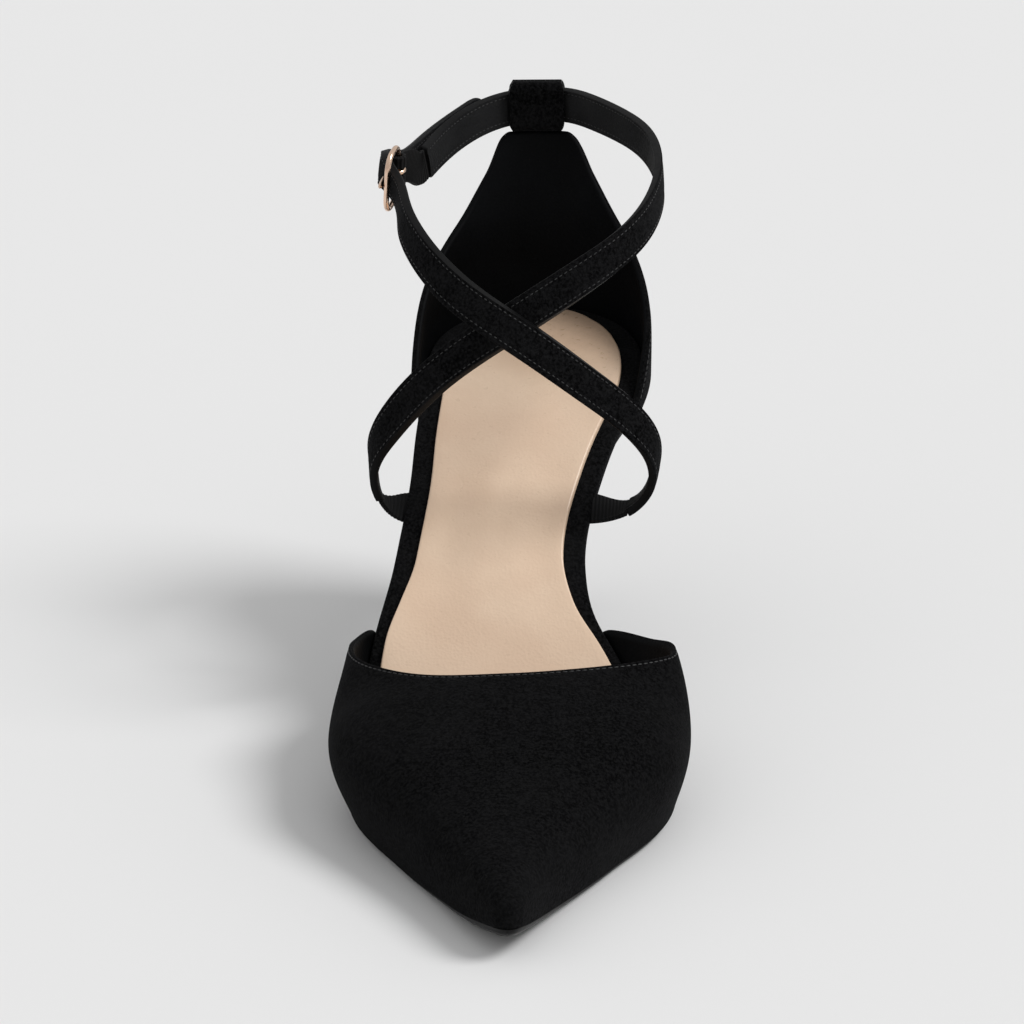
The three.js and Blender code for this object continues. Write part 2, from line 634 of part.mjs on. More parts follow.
function ribbon(path, start, end, width, thickness, steps) {
  const w = width / 2;
  const t = thickness / 2;
  return solidThrough(sampled(steps, share => {
    const frame = path.frameAt(THREE.MathUtils.lerp(start, end, share));
    return [[w, t], [w, -t], [-w, -t], [-w, t]].map(([across, away]) => inFrame(frame, across, away));
  }));
}

// Buckle: its own frame, with the heel bar behind and the front bar before
const buckleOut = facing(BUCKLE.turn, BUCKLE.tip);
const buckleAlong = new THREE.Vector3(0, 1, Math.tan(THREE.MathUtils.degToRad(BUCKLE_PITCH)));
buckleAlong.addScaledVector(buckleOut, -buckleAlong.dot(buckleOut)).normalize();
const buckle = {
  place: rowPlace(BUCKLE),
  along: buckleAlong,
  away: buckleOut,
  across: buckleOut.clone().cross(buckleAlong),
};
const BAR_RUN = (FRAME_DEPTH - FRAME_BAR) / 2;
const CURL_RADIUS = FRAME_BAR / 2 + GAP + PRONG_THICKNESS / 2;
const STRAP_UNDER = -(FRAME_BAR + STRAP_THICKNESS) / 2 - 3 * GAP;
const STRAP_ABOVE = (FRAME_BAR + STRAP_THICKNESS) / 2 + ELASTIC_THICKNESS + 3 * GAP;
const buckleNode = (run, away) => ({ place: inFrame(buckle, 0, away, run), out: buckle.away.clone() });

const overPath = pathThrough([
  anchorNode(1),
  ...OVER_FRONT.map(strapNode),
  buckleNode(-BAR_RUN, STRAP_UNDER),
  buckleNode(BAR_RUN, STRAP_ABOVE),
  ...OVER_END.map(strapNode),
]);
const underPath = pathThrough([anchorNode(-1), ...UNDER_STRAP.map(strapNode)]);
const underEnd = underPath.frameAt(underPath.length);
const elasticPath = pathThrough([
  buckleNode(BAR_RUN, 0),
  {
    place: inFrame(buckle, 0, 0, BAR_RUN).lerp(underEnd.place, 0.5),
    out: buckle.away.clone().add(underEnd.away),
  },
  { place: inFrame(underEnd, 0, 0, SEAM_LENGTH), out: underEnd.away.clone() },
  { place: inFrame(underEnd, 0, 0, 2 * GAP), out: underEnd.away.clone() },
]);

// Bar or rod through places, closed into a ring where that is asked for.
function rod(places, radius, closed) {
  const count = places.length;
  const rings = places.map((place, i) => {
    const before = closed ? places[(i + count - 1) % count] : places[Math.max(i - 1, 0)];
    const after = closed ? places[(i + 1) % count] : places[Math.min(i + 1, count - 1)];
    const along = after.clone().sub(before).normalize();
    const up = closed ? closed.clone() : buckle.across.clone();
    const side = up.clone().cross(along);
    return Array.from({ length: BAR_SIDES }, (_, k) => {
      const angle = 2 * Math.PI * k / BAR_SIDES;
      return place.clone()
        .addScaledVector(up, radius * Math.cos(angle))
        .addScaledVector(side, radius * Math.sin(angle));
    });
  });
  if (!closed) {
    return solidThrough(rings);
  }
  return closedGeometry(gridTriangles([...rings, rings[0]].map(ring => [...ring, ring[0]])));
}

function frameRing() {
  const corners = [[1, 1], [-1, 1], [-1, -1], [1, -1]];
  const reach = [(FRAME_LENGTH - FRAME_BAR) / 2 - FRAME_CORNER, BAR_RUN - FRAME_CORNER];
  const places = corners.flatMap(([across, along], quarter) => sampled(BAR_CORNER_STEPS, share => {
    const angle = Math.PI / 2 * (quarter + share);
    const x = across * reach[0] + FRAME_CORNER * Math.cos(angle);
    const y = along * reach[1] + FRAME_CORNER * Math.sin(angle);
    return inFrame(buckle, x, 0, y);
  }));
  return rod(places, FRAME_BAR / 2, buckle.away);
}

const prongPlaces = [
  inFrame(buckle, 0, CURL_RADIUS, BAR_RUN),
  inFrame(buckle, 0, CURL_RADIUS, 0),
  inFrame(buckle, 0, CURL_RADIUS, -BAR_RUN - FRAME_BAR / 2),
];

function prong() {
  const curl = sampled(TUBE_SIDES, share => {
    const angle = 2 * Math.PI * share;
    return inFrame(buckle, 0, CURL_RADIUS * Math.cos(angle), BAR_RUN + CURL_RADIUS * Math.sin(angle));
  }).slice(0, -1);
  const ring = toBody(rod(curl, PRONG_THICKNESS / 2, buckle.across));
  return fromBody(ring.add(toBody(rod(prongPlaces, PRONG_THICKNESS / 2))));
}

function strap(path) {
  return ribbon(path, ANCHOR_LENGTH + GAP, path.length, STRAP_WIDTH, STRAP_THICKNESS, STRAP_STEPS);
}

function elastic(path, start, end) {
  return ribbon(path, start, end, ELASTIC_WIDTH, ELASTIC_THICKNESS, ELASTIC_STEPS);
}

function strapOver() {
  const hole = rod(prongPlaces, PRONG_THICKNESS / 2 + PRONG_CLEARANCE);
  return fromBody(toBody(strap(overPath)).subtract(toBody(hole)));
}

// Elastic that ends in a tube round the heel bar, cut open for the prong's curl
function buckleElastic() {
  const bar = across => inFrame(buckle, across, 0, BAR_RUN);
  const half = ELASTIC_WIDTH / 2;
  const clear = FRAME_BAR / 2 + GAP;
  const tube = radius => toBody(barRod([bar(-half), bar(half)], radius));
  const start = clear + ELASTIC_THICKNESS / 2;
  const tail = toBody(elastic(elasticPath, start, elasticPath.length));
  const slot = PRONG_THICKNESS / 2 + PRONG_CLEARANCE;
  const reach = CURL_RADIUS + PRONG_THICKNESS + PRONG_CLEARANCE;
  const window = toBody(barRod([bar(-slot), bar(slot)], reach));
  const bore = toBody(barRod([bar(-FRAME_LENGTH), bar(FRAME_LENGTH)], clear));
  return fromBody(tube(clear + ELASTIC_THICKNESS).add(tail).subtract(bore).subtract(window));
}

function barRod(places, radius) {
  return solidThrough(places.map(place => Array.from({ length: TUBE_SIDES }, (_, k) => {
    const angle = 2 * Math.PI * k / TUBE_SIDES;
    return place.clone()
      .addScaledVector(buckle.along, radius * Math.cos(angle))
      .addScaledVector(buckle.away, radius * Math.sin(angle));
  })));
}

// Back loop: a ring round the strap on top of the counter, with rounded shoulders
function roundedShape(width, height, corner) {
  const shape = new THREE.Shape();
  const x = width / 2;
  const y = height / 2;
  shape.moveTo(-x + corner, -y);
  shape.lineTo(x - corner, -y);
  shape.quadraticCurveTo(x, -y, x, -y + corner);
  shape.lineTo(x, y - corner);
  shape.quadraticCurveTo(x, y, x - corner, y);
  shape.lineTo(-x + corner, y);
  shape.quadraticCurveTo(-x, y, -x, y - corner);
  shape.lineTo(-x, -y + corner);
  shape.quadraticCurveTo(-x, -y, -x + corner, -y);
  return shape;
}

function extruded(shape, length, turn, place) {
  const options = { depth: length, bevelEnabled: false, curveSegments: SHOULDER_STEPS };
  const block = new THREE.ExtrudeGeometry(shape, options);
  block.translate(0, 0, -length / 2);
  block.applyMatrix4(turn);
  block.translate(place.x, place.y, place.z);
  const points = block.attributes.position;
  const corner = i => new THREE.Vector3().fromBufferAttribute(points, i);
  const triangles = [];
  for (let i = 0; i < points.count; i += 3) {
    triangles.push([corner(i), corner(i + 1), corner(i + 2)]);
  }
  return toBody(closedGeometry(triangles));
}

function backLoop() {
  const place = rowPlace(UNDER_STRAP.find(row => row.across === 0));
  place.y -= LOOP_SLACK / 2 - GAP;
  const depth = STRAP_THICKNESS + LOOP_SLACK;
  const height = STRAP_WIDTH + LOOP_PLAY;
  const outerDepth = depth + 2 * LOOP_WALL;
  const outerHeight = height + 2 * LOOP_WALL;
  const upright = new THREE.Matrix4().makeRotationX(Math.PI / 2);
  const sideways = new THREE.Matrix4().makeRotationZ(Math.PI / 2).multiply(upright);
  const ring = extruded(roundedShape(outerDepth, outerHeight, LOOP_WALL), LOOP_WIDTH, sideways, place);
  const slot = extruded(roundedShape(depth, height, LOOP_WALL / 2), 2 * LOOP_WIDTH, sideways, place);
  const front = extruded(roundedShape(LOOP_WIDTH, outerHeight, LOOP_CORNER), 2 * LOOP_WIDTH, upright, place);
  return fromBody(ring.subtract(slot).intersect(front));
}

// Finishes
function finish(color, roughness, metalness) {
  return new THREE.MeshStandardMaterial({ color, roughness, metalness });
}

const suede = () => finish(0x1f1f21, 0.95, 0);
const webbing = () => finish(0x1a1a1c, 0.8, 0);
const plated = () => finish(0xd8b48c, 0.25, 1);

const group = new THREE.Group();
group.name = 'high_heel_shoe';

function addPiece(name, geometry, material) {
  geometry.computeVertexNormals();
  const mesh = new THREE.Mesh(geometry, material);
  mesh.name = name;
  group.add(mesh);
}

addPiece('outsole', layer(soleEdge, 0, OUTSOLE_THICKNESS, SOLE_BEVEL), finish(0x111112, 0.4, 0));
addPiece('insole_board', layer(boardEdge, BOARD_LOW, BOARD_HIGH), suede());
addPiece('insole_sock', layer(sockEdge, SOCK_LOW, SOCK_HIGH), finish(0xd0b8a0, 0.6, 0));
addPiece('vamp', vampShell(), suede());
addPiece('counter', counterShell(), suede());
addPiece('heel', heelBlock(), suede());
addPiece('heel_tip', topLift(), finish(0x151515, 0.6, 0));
addPiece('back_loop', backLoop(), suede());
addPiece('strap_over', strapOver(), suede());
addPiece('strap_under', strap(underPath), suede());
addPiece('elastic_medial', elastic(overPath, 0, ANCHOR_LENGTH), webbing());
addPiece('elastic_lateral', elastic(underPath, 0, ANCHOR_LENGTH), webbing());
addPiece('elastic_buckle', buckleElastic(), webbing());
addPiece('buckle_frame', frameRing(), plated());
addPiece('buckle_prong', prong(), plated());

export default group;
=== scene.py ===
"""Right shoe of a pair of pointed suede high heels, dressed over its CAD frame.

Sizes and tables are millimetres and shares of named sizes, and meshes are written in metres. The toe points
towards -Y, the inner side of the foot lies towards +X, and +Z is up, as in the frame.
"""

import logging
from collections.abc import Callable
from dataclasses import dataclass
from enum import Enum
from functools import cached_property

import bmesh
import bpy
import numpy as np
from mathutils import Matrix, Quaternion, Vector


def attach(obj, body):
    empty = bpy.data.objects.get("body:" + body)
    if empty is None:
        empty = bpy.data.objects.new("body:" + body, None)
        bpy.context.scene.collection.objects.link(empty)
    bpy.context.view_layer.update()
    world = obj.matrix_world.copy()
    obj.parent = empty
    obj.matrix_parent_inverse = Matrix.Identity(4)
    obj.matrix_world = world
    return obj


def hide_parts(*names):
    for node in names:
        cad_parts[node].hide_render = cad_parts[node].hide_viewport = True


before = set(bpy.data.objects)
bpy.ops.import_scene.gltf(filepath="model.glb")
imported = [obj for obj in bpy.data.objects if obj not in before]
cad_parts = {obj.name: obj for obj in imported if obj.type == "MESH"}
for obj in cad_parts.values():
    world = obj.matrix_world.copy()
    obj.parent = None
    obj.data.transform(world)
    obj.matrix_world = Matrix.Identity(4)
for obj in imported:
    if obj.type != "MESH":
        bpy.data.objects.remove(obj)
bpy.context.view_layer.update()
MM = 0.001
# Distances in metres below which points are one and edges are nothing
WELD = 2e-6
SLIVER = 1e-6
# Step in millimetres that gives a path's direction
PATH_PROBE = 0.05

log = logging.getLogger("high_heel")
Array = np.ndarray
Triple = tuple[float, float, float]
StitchRow = tuple[Array, Array, Array]
Socket = bpy.types.NodeSocket
Material = bpy.types.Material
Piece = bpy.types.Object


# Curves and tables
def table(names: str, *rows: tuple[float, ...]) -> dict[str, Array]:
    """Rows of numbers as named columns.

    Args:
        names: Column names, parted by spaces.
        rows: One tuple for each row.

    Returns:
        One array for each column.
    """
    return dict(zip(names.split(), np.array(rows, float).T))


class NaturalCurve:
    """Smooth curve through rows: cubic pieces whose slope and bend agree where they meet."""

    def __init__(self, xs: Array, ys: Array, level_start: bool = False) -> None:
        """Solves the bend at every row.

        Args:
            xs: Rising places of the rows.
            ys: Values of the rows, plain or with a last axis of coordinates.
            level_start: Whether the curve starts level.
        """
        self.xs = np.asarray(xs, float)
        self.ys = np.asarray(ys, float)
        count = len(self.xs)
        step = np.diff(self.xs)
        slope = np.diff(self.ys, axis=0) / step.reshape((-1,) + (1,) * (self.ys.ndim - 1))
        matrix = np.eye(count)
        right = np.zeros_like(self.ys)
        rows = np.arange(1, count - 1)
        matrix[rows, rows - 1] = step[:-1]
        matrix[rows, rows] = 2 * (step[:-1] + step[1:])
        matrix[rows, rows + 1] = step[1:]
        right[1:-1] = 6 * np.diff(slope, axis=0)
        if level_start:
            matrix[0, :2] = (2 * step[0], step[0])
            right[0] = 6 * slope[0]
        self.bends = np.linalg.solve(matrix, right)

    def __call__(self, x: Array) -> Array:
        """Value of the curve at x.

        Args:
            x: Places, also past the rows.

        Returns:
            The values.
        """
        x = np.asarray(x, float)
        i = np.clip(np.searchsorted(self.xs, x), 1, len(self.xs) - 1)
        step = self.xs[i] - self.xs[i - 1]
        a = (self.xs[i] - x) / step
        b = (x - self.xs[i - 1]) / step
        swing = step * step / 6
        if self.ys.ndim > 1:
            a, b, swing = a[..., None], b[..., None], swing[..., None]
        bend = (a**3 - a) * self.bends[i - 1] + (b**3 - b) * self.bends[i]
        return a * self.ys[i - 1] + b * self.ys[i] + bend * swing


class SteadyCurve:
    """Smooth curve through rows that never swings past them."""

    def __init__(self, xs: Array, ys: Array) -> None:
        """Sets each row's slope to the harmonic mean of those beside it, and to 0 at a peak.

        Args:
            xs: Rising places of the rows.
            ys: Values of the rows.
        """
        self.xs = np.asarray(xs, float)
        self.ys = np.asarray(ys, float)
        slope = np.diff(self.ys) / np.diff(self.xs)
        self.slopes = np.zeros_like(self.ys)
        before, after = slope[:-1], slope[1:]
        same = before * after > 0
        total = np.where(same, before + after, 1)
        self.slopes[1:-1] = np.where(same, 2 * before * after / total, 0)

    def __call__(self, x: Array) -> Array:
        """Value of the curve at x.

        Args:
            x: Places, also past the rows.

        Returns:
            The values.
        """
        x = np.asarray(x, float)
        i = np.clip(np.searchsorted(self.xs, x), 1, len(self.xs) - 1)
        step = self.xs[i] - self.xs[i - 1]
        t = np.clip((x - self.xs[i - 1]) / step, 0, 1)
        start = (1 + 2 * t) * (1 - t) ** 2 * self.ys[i - 1] + t * (1 - t) ** 2 * step * self.slopes[i - 1]
        return start + t * t * (3 - 2 * t) * self.ys[i] + t * t * (t - 1) * step * self.slopes[i]


def unit(vectors: Array) -> Array:
    """Vectors of length 1 along the given ones."""
    return vectors / np.linalg.norm(vectors, axis=-1, keepdims=True)


def blend(low: Array, high: Array, share: Array) -> Array:
    """Straight mix from low to high."""
    return low + (high - low) * share


def hump(x: Array, middle: float, reach: float) -> Array:
    """Soft hump of height 1: the bell curve round a middle, which falls to a third at the reach."""
    return np.exp(-(((x - middle) / reach) ** 2))


def evenly(points: Array, pitch: float, margin: float = 0) -> Array:
    """Shares of a run of points at which pieces a pitch apart stand.

    Args:
        points: Points along a line, equally spaced in its own parameter from 0 to 1.
        pitch: Distance between pieces.
        margin: Length left free at both ends.

    Returns:
        Parameter values from 0 to 1.
    """
    lengths = np.r_[0, np.cumsum(np.linalg.norm(np.diff(points, axis=0), axis=1))]
    count = max(2, int((lengths[-1] - 2 * margin) / pitch))
    places = np.linspace(margin, lengths[-1] - margin, count)
    return np.interp(places, lengths, np.linspace(0, 1, len(points)))


# Meshes
def strip_faces(rows: int, columns: int, wrap: bool) -> Array:
    """Corner numbers of the quads of a grid, row by row.

    Args:
        rows: Rows of points.
        columns: Points in a row.
        wrap: Whether each row's last point joins its first.

    Returns:
        An array of quads.
    """
    row = np.arange(rows - 1)[:, None] * columns
    column = np.arange(columns if wrap else columns - 1)[None, :]
    after = (column + 1) % columns
    corners = [row + column, row + columns + column, row + columns + after, row + after]
    return np.stack(corners, -1).reshape(-1, 4)


def cap_faces(start: int, count: int) -> Array:
    """Quads that close a ring of points by pairing its first half with its second, end by end.

    Args:
        start: Number of the ring's first point.
        count: Points in the ring.

    Returns:
        An array of quads.
    """
    i = np.arange((count - 1) // 2)
    far = start + count - 1 - i
    return np.stack([start + i, start + i + 1, far - 1, far], -1)


def new_piece(
    name: str,
    points: Array,
    faces: Array,
    slots: Array | None = None,
    weave: Array | None = None,
    sharp: float = 50,
) -> Piece:
    """Makes a welded mesh object with outward faces at the origin.

    Args:
        name: Name of the piece.
        points: Points in millimetres.
        faces: Quads as corner numbers.
        slots: Material number of each face.
        weave: Three numbers for each point, kept as the attribute "weave".
        sharp: Angle in degrees above which an edge stays crisp.

    Returns:
        The new object.
    """
    mesh = bpy.data.meshes.new(name)
    mesh.from_pydata((points * MM).tolist(), [], faces.tolist())
    if slots is not None:
        mesh.polygons.foreach_set("material_index", np.asarray(slots, np.int32))
    if weave is not None:
        layer = mesh.attributes.new("weave", "FLOAT_VECTOR", "POINT")
        layer.data.foreach_set("vector", np.asarray(weave, np.float32).ravel())
    shape = bmesh.new()
    shape.from_mesh(mesh)
    bmesh.ops.remove_doubles(shape, verts=shape.verts, dist=WELD)
    bmesh.ops.dissolve_degenerate(shape, edges=shape.edges, dist=SLIVER)
    bmesh.ops.recalc_face_normals(shape, faces=shape.faces)
    shape.to_mesh(mesh)
    shape.free()
    mesh.shade_smooth()
    mesh.set_sharp_from_angle(angle=np.radians(sharp))
    piece = bpy.data.objects.new(name, mesh)
    bpy.context.scene.collection.objects.link(piece)
    return piece


def wall_piece(name: str, grid: Array, slots: Array, sharp: float = 50) -> Piece:
    """Closed wall from rows that each run up one face, over the edge and down the other.

    Args:
        name: Name of the piece.
        grid: Rows of points, with the same number in each.
        slots: Material number of each strip between two columns.
        sharp: Angle in degrees above which an edge stays crisp.

    Returns:
        The new object.
    """
    rows, columns = grid.shape[:2]
    ends = [cap_faces(0, columns), cap_faces((rows - 1) * columns, columns)]
    faces = [strip_faces(rows, columns, False), *ends]
    marks = [np.tile(slots, rows - 1), np.zeros(len(faces[1]) * 2, int)]
    return new_piece(name, grid.reshape(-1, 3), np.concatenate(faces), np.concatenate(marks), sharp=sharp)


def swept_piece(
    name: str,
    rings: Array,
    slots: Array | None = None,
    weave: Array | None = None,
    closed: bool = False,
    sharp: float = 50,
) -> Piece:
    """Closed solid through rings of points.

    Args:
        name: Name of the piece.
        rings: Rings of points, one for each step of the sweep.
        slots: Material number of each strip between two points of a ring.
        weave: Three numbers for each point.
        closed: Whether the last ring joins the first. If not, both ends are capped.
        sharp: Angle in degrees above which an edge stays crisp.

    Returns:
        The new object.
    """
    if closed:
        rings = np.concatenate([rings, rings[:1]])
        weave = None if weave is None else np.concatenate([weave, weave[:1]])
    rows, columns = rings.shape[:2]
    faces = [strip_faces(rows, columns, True)]
    marks = [np.tile(np.zeros(columns, int) if slots is None else slots, rows - 1)]
    if not closed:
        faces += [cap_faces(0, columns), cap_faces((rows - 1) * columns, columns)]
        marks.append(np.zeros(len(faces[1]) * 2, int))
    flat = None if weave is None else weave.reshape(-1, 3)
    return new_piece(name, rings.reshape(-1, 3), np.concatenate(faces), np.concatenate(marks), flat, sharp)


@dataclass(frozen=True)
class Stitches:
    """Rows of thread: each stitch is a slim egg that lies half in the surface."""

    length: float = 1.25
    width: float = 0.4
    height: float = 0.26
    rings: int = 5
    sides: int = 6

    def points(self, middle: Array, along: Array, away: Array) -> Array:
        """Eggs at the given places: middle + along cos a + (across cos b + away sin b) sin a.

        Args:
            middle: Middle of each stitch.
            along: Way the thread runs.
            away: Way out of the surface.

        Returns:
            Points of every stitch, as stitch, ring and side.
        """
        along = unit(along)
        away = unit(away - along * (away * along).sum(-1, keepdims=True))
        across = np.cross(away, along)
        a = np.linspace(0, np.pi, self.rings)[None, :, None, None]
        b = (2 * np.pi * np.arange(self.sides) / self.sides)[None, None, :, None]
        along, away, across = along[:, None, None], away[:, None, None], across[:, None, None]
        side = across * np.cos(b) * self.width + away * np.sin(b) * self.height
        return middle[:, None, None] + (along * np.cos(a) * self.length + side * np.sin(a)) / 2

    def piece(self, name: str, rows: list[StitchRow]) -> Piece:
        """One mesh with every stitch of several rows.

        Args:
            name: Name of the piece.
            rows: Middle, along and away of the stitches of each row.

        Returns:
            The new object.
        """
        eggs = np.concatenate([self.points(*row) for row in rows])
        count = self.rings * self.sides
        one = strip_faces(self.rings, self.sides, True)
        faces = (one[None] + np.arange(len(eggs))[:, None, None] * count).reshape(-1, 4)
        return new_piece(name, eggs.reshape(-1, 3), faces, sharp=180)


# Finishes
class Graph:
    """One material's nodes, with short calls for the few kinds that the finishes use."""

    def __init__(self, name: str) -> None:
        """Starts a material with one Principled shader.

        Args:
            name: Name of the material.
        """
        self.material = bpy.data.materials.new(name)
        self.material.use_nodes = True
        self.tree = self.material.node_tree
        self.shader = self.tree.nodes["Principled BSDF"]

    def add(self, kind: str, **inputs: object) -> bpy.types.Node:
        """Adds a node.

        Args:
            kind: The node's type without its ShaderNode prefix.
            inputs: Settings of the node, and plain values or links for its sockets, spaces written as _.

        Returns:
            The new node.
        """
        node = self.tree.nodes.new("ShaderNode" + kind)
        for key, value in inputs.items():
            socket = node.inputs.get(key.replace("_", " "))
            if socket is None:
                setattr(node, key, value)
            elif isinstance(value, Socket):
                self.tree.links.new(value, socket)
            else:
                socket.default_value = value
        return node

    def place(self, stretch: Triple = (1, 1, 1), weave: bool = False) -> Socket:
        """Coordinates in millimetres: the object's own, or those of its weave attribute.

        Args:
            stretch: Factor along each axis.
            weave: Whether the attribute is read.

        Returns:
            The vector socket.
        """
        if weave:
            source = self.add("Attribute", attribute_name="weave").outputs["Vector"]
            scale = stretch
        else:
            source = self.add("TexCoord").outputs["Object"]
            scale = tuple(value / MM for value in stretch)
        return self.add("Mapping", Vector=source, Scale=scale).outputs["Vector"]

    def noise(
        self, size: float, detail: float = 2, rough: float = 0.5, place: Socket | None = None
    ) -> Socket:
        """Noise whose largest grains are about a size across.

        Args:
            size: Grain size in millimetres.
            detail: Octaves of finer grain.
            rough: Strength of the finer grain.
            place: Coordinates, the object's own if left out.

        Returns:
            The noise from 0 to 1.
        """
        place = place or self.place()
        node = self.add("TexNoise", Vector=place, Scale=1 / size, Detail=detail, Roughness=rough)
        return node.outputs["Fac"]

    def shade(self, value: Socket, low: float, high: float, first: float, last: float) -> Socket:
        """Value stretched from the range low to high into first to last, held at both ends.

        Args:
            value: The link.
            low: Value that gives first.
            high: Value that gives last.
            first: Result at the low end.
            last: Result at the high end.

        Returns:
            The result's socket.
        """
        node = self.add("MapRange", Value=value, From_Min=low, From_Max=high, To_Min=first, To_Max=last)
        return node.outputs["Result"]

    def fill(self, socket: Socket, value: object) -> None:
        """Links a socket, or sets it to a number or a colour.

        Args:
            socket: The socket.
            value: A link, a number or a colour.
        """
        if isinstance(value, Socket):
            self.tree.links.new(value, socket)
        else:
            socket.default_value = (*value, 1) if isinstance(value, tuple) else value

    def mix(self, share: object, first: object, second: object) -> Socket:
        """Colour between two colours or colour links.

        Args:
            share: Number or link, 0 for the first colour and 1 for the second.
            first: First colour.
            second: Second colour.

        Returns:
            The colour's socket.
        """
        node = self.add("Mix", data_type="RGBA")
        for socket, value in zip((node.inputs[0], node.inputs[6], node.inputs[7]), (share, first, second)):
            self.fill(socket, value)
        return node.outputs[2]

    def math(self, kind: str, first: object, second: object = 0.0) -> Socket:
        """One step of arithmetic.

        Args:
            kind: The operation's name.
            first: First number or link.
            second: Second number or link.

        Returns:
            The result's socket.
        """
        node = self.add("Math", operation=kind)
        for socket, value in zip(node.inputs, (first, second)):
            self.fill(socket, value)
        return node.outputs[0]

    def bump(self, *layers: tuple[Socket, float]) -> None:
        """Lays bumps on each other.

        Args:
            layers: Each a height from 0 to 1 and its depth in millimetres.
        """
        normal = None
        for height, depth in layers:
            node = self.add("Bump", Height=height, Distance=depth * MM, Strength=1.0)
            if normal is not None:
                self.tree.links.new(normal, node.inputs["Normal"])
            normal = node.outputs["Normal"]
        self.tree.links.new(normal, self.shader.inputs["Normal"])

    def set(self, **values: object) -> None:
        """Sets or links sockets of the shader, spaces written as _."""
        for key, value in values.items():
            self.fill(self.shader.inputs[key.replace("_", " ")], value)


@dataclass(frozen=True)
class Suede:
    """Suede: a short nap in fine mottles over slow patches where it was brushed another way."""

    name: str = "suede_black"
    deep: Triple = (0.0003, 0.0003, 0.0004)
    nap: Triple = (0.0064, 0.0064, 0.0067)
    brushed: Triple = (0.0098, 0.0098, 0.0103)
    grain: float = 0.72
    depth: float = 0.4

    def material(self) -> Material:
        """Builds the material.

        Returns:
            The new material.
        """
        graph = Graph(self.name)
        fibre = graph.noise(self.grain, 3, 0.7)
        mottle = graph.noise(self.grain * 3.4, 3, 0.6)
        patch = graph.noise(self.grain * 26, 2, 0.5)
        base = graph.mix(graph.shade(fibre, 0.41, 0.61, 0, 1), self.deep, self.nap)
        lifted = graph.mix(graph.shade(mottle, 0.45, 0.7, 0, 0.3), base, self.brushed)
        share = graph.shade(patch, 0.42, 0.68, 0, 0.22)
        graph.set(Base_Color=graph.mix(share, lifted, self.brushed), Roughness=0.92)
        graph.set(Specular_IOR_Level=0.03, Sheen_Weight=0.023, Sheen_Roughness=0.4)
        graph.set(Sheen_Tint=(0.62, 0.63, 0.68))
        graph.bump((mottle, self.depth * 0.3), (fibre, self.depth))
        return graph.material


@dataclass(frozen=True)
class SmoothLeather:
    """Smooth leather: pores and fine wrinkles under a soft or a full gloss; may carry a painted shadow."""

    name: str
    base: Triple
    shade: Triple
    roughness: float = 0.5
    pore: float = 0.5
    depth: float = 0.03
    coat: float = 0.0
    gloss: float = 0.5
    # The seat colour, with its run and share along Y + X, paints a shadow: the shade that the counter's inner
    # wall casts on the heel end of the sock.
    seat: Triple | None = None
    painted_shadow_run: tuple[float, float] = (122, 182)
    painted_shadow_share: float = 0.75

    def material(self) -> Material:
        """Builds the material.

        Returns:
            The new material.
        """
        graph = Graph(self.name)
        cells = graph.add("TexVoronoi", Vector=graph.place(), Scale=1 / self.pore).outputs["Distance"]
        cloud = graph.noise(34, 3, 0.55)
        fine = graph.noise(self.pore * 2.4, 3, 0.6)
        tone = graph.mix(graph.shade(cloud, 0.38, 0.66, 0, 1), self.base, self.shade)
        # Painted shadow: the tone mixes towards the seat colour as Y + X grows, towards the heel and the
        # inner side, where the counter's wall shades the sock.
        if self.seat:
            split = graph.add("SeparateXYZ", Vector=graph.place())
            back = graph.math("ADD", split.outputs["Y"], split.outputs["X"])
            tone = graph.mix(graph.shade(back, *self.painted_shadow_run, 0, self.painted_shadow_share), tone, self.seat)
        speck = graph.shade(fine, 0.3, 0.7, 0.0, 0.28)
        graph.set(Base_Color=graph.mix(speck, tone, self.shade))
        graph.set(Roughness=graph.shade(fine, 0.3, 0.7, self.roughness - 0.05, self.roughness + 0.07))
        graph.set(Coat_Weight=self.coat, Coat_Roughness=0.22, Specular_IOR_Level=self.gloss)
        graph.bump((fine, self.depth * 1.6), (cells, self.depth))
        return graph.material


@dataclass(frozen=True)
class Gloss:
    """Hard dark edge with a full gloss and faint file marks along it."""

    name: str
    base: Triple
    roughness: float
    coat: float

    def material(self) -> Material:
        """Builds the material.

        Returns:
            The new material.
        """
        graph = Graph(self.name)
        marks = graph.noise(1.4, 3, 0.6, graph.place((1, 1, 6)))
        wear = graph.noise(9, 2)
        paler = tuple(min(1.0, value * 2.2 + 0.004) for value in self.base)
        graph.set(Base_Color=graph.mix(graph.shade(wear, 0.45, 0.7, 0, 0.5), self.base, paler))
        graph.set(Roughness=graph.shade(marks, 0.3, 0.7, self.roughness, self.roughness + 0.12))
        graph.set(Coat_Weight=self.coat, Coat_Roughness=0.1, Specular_IOR_Level=0.15)
        graph.bump((marks, 0.02))
        return graph.material


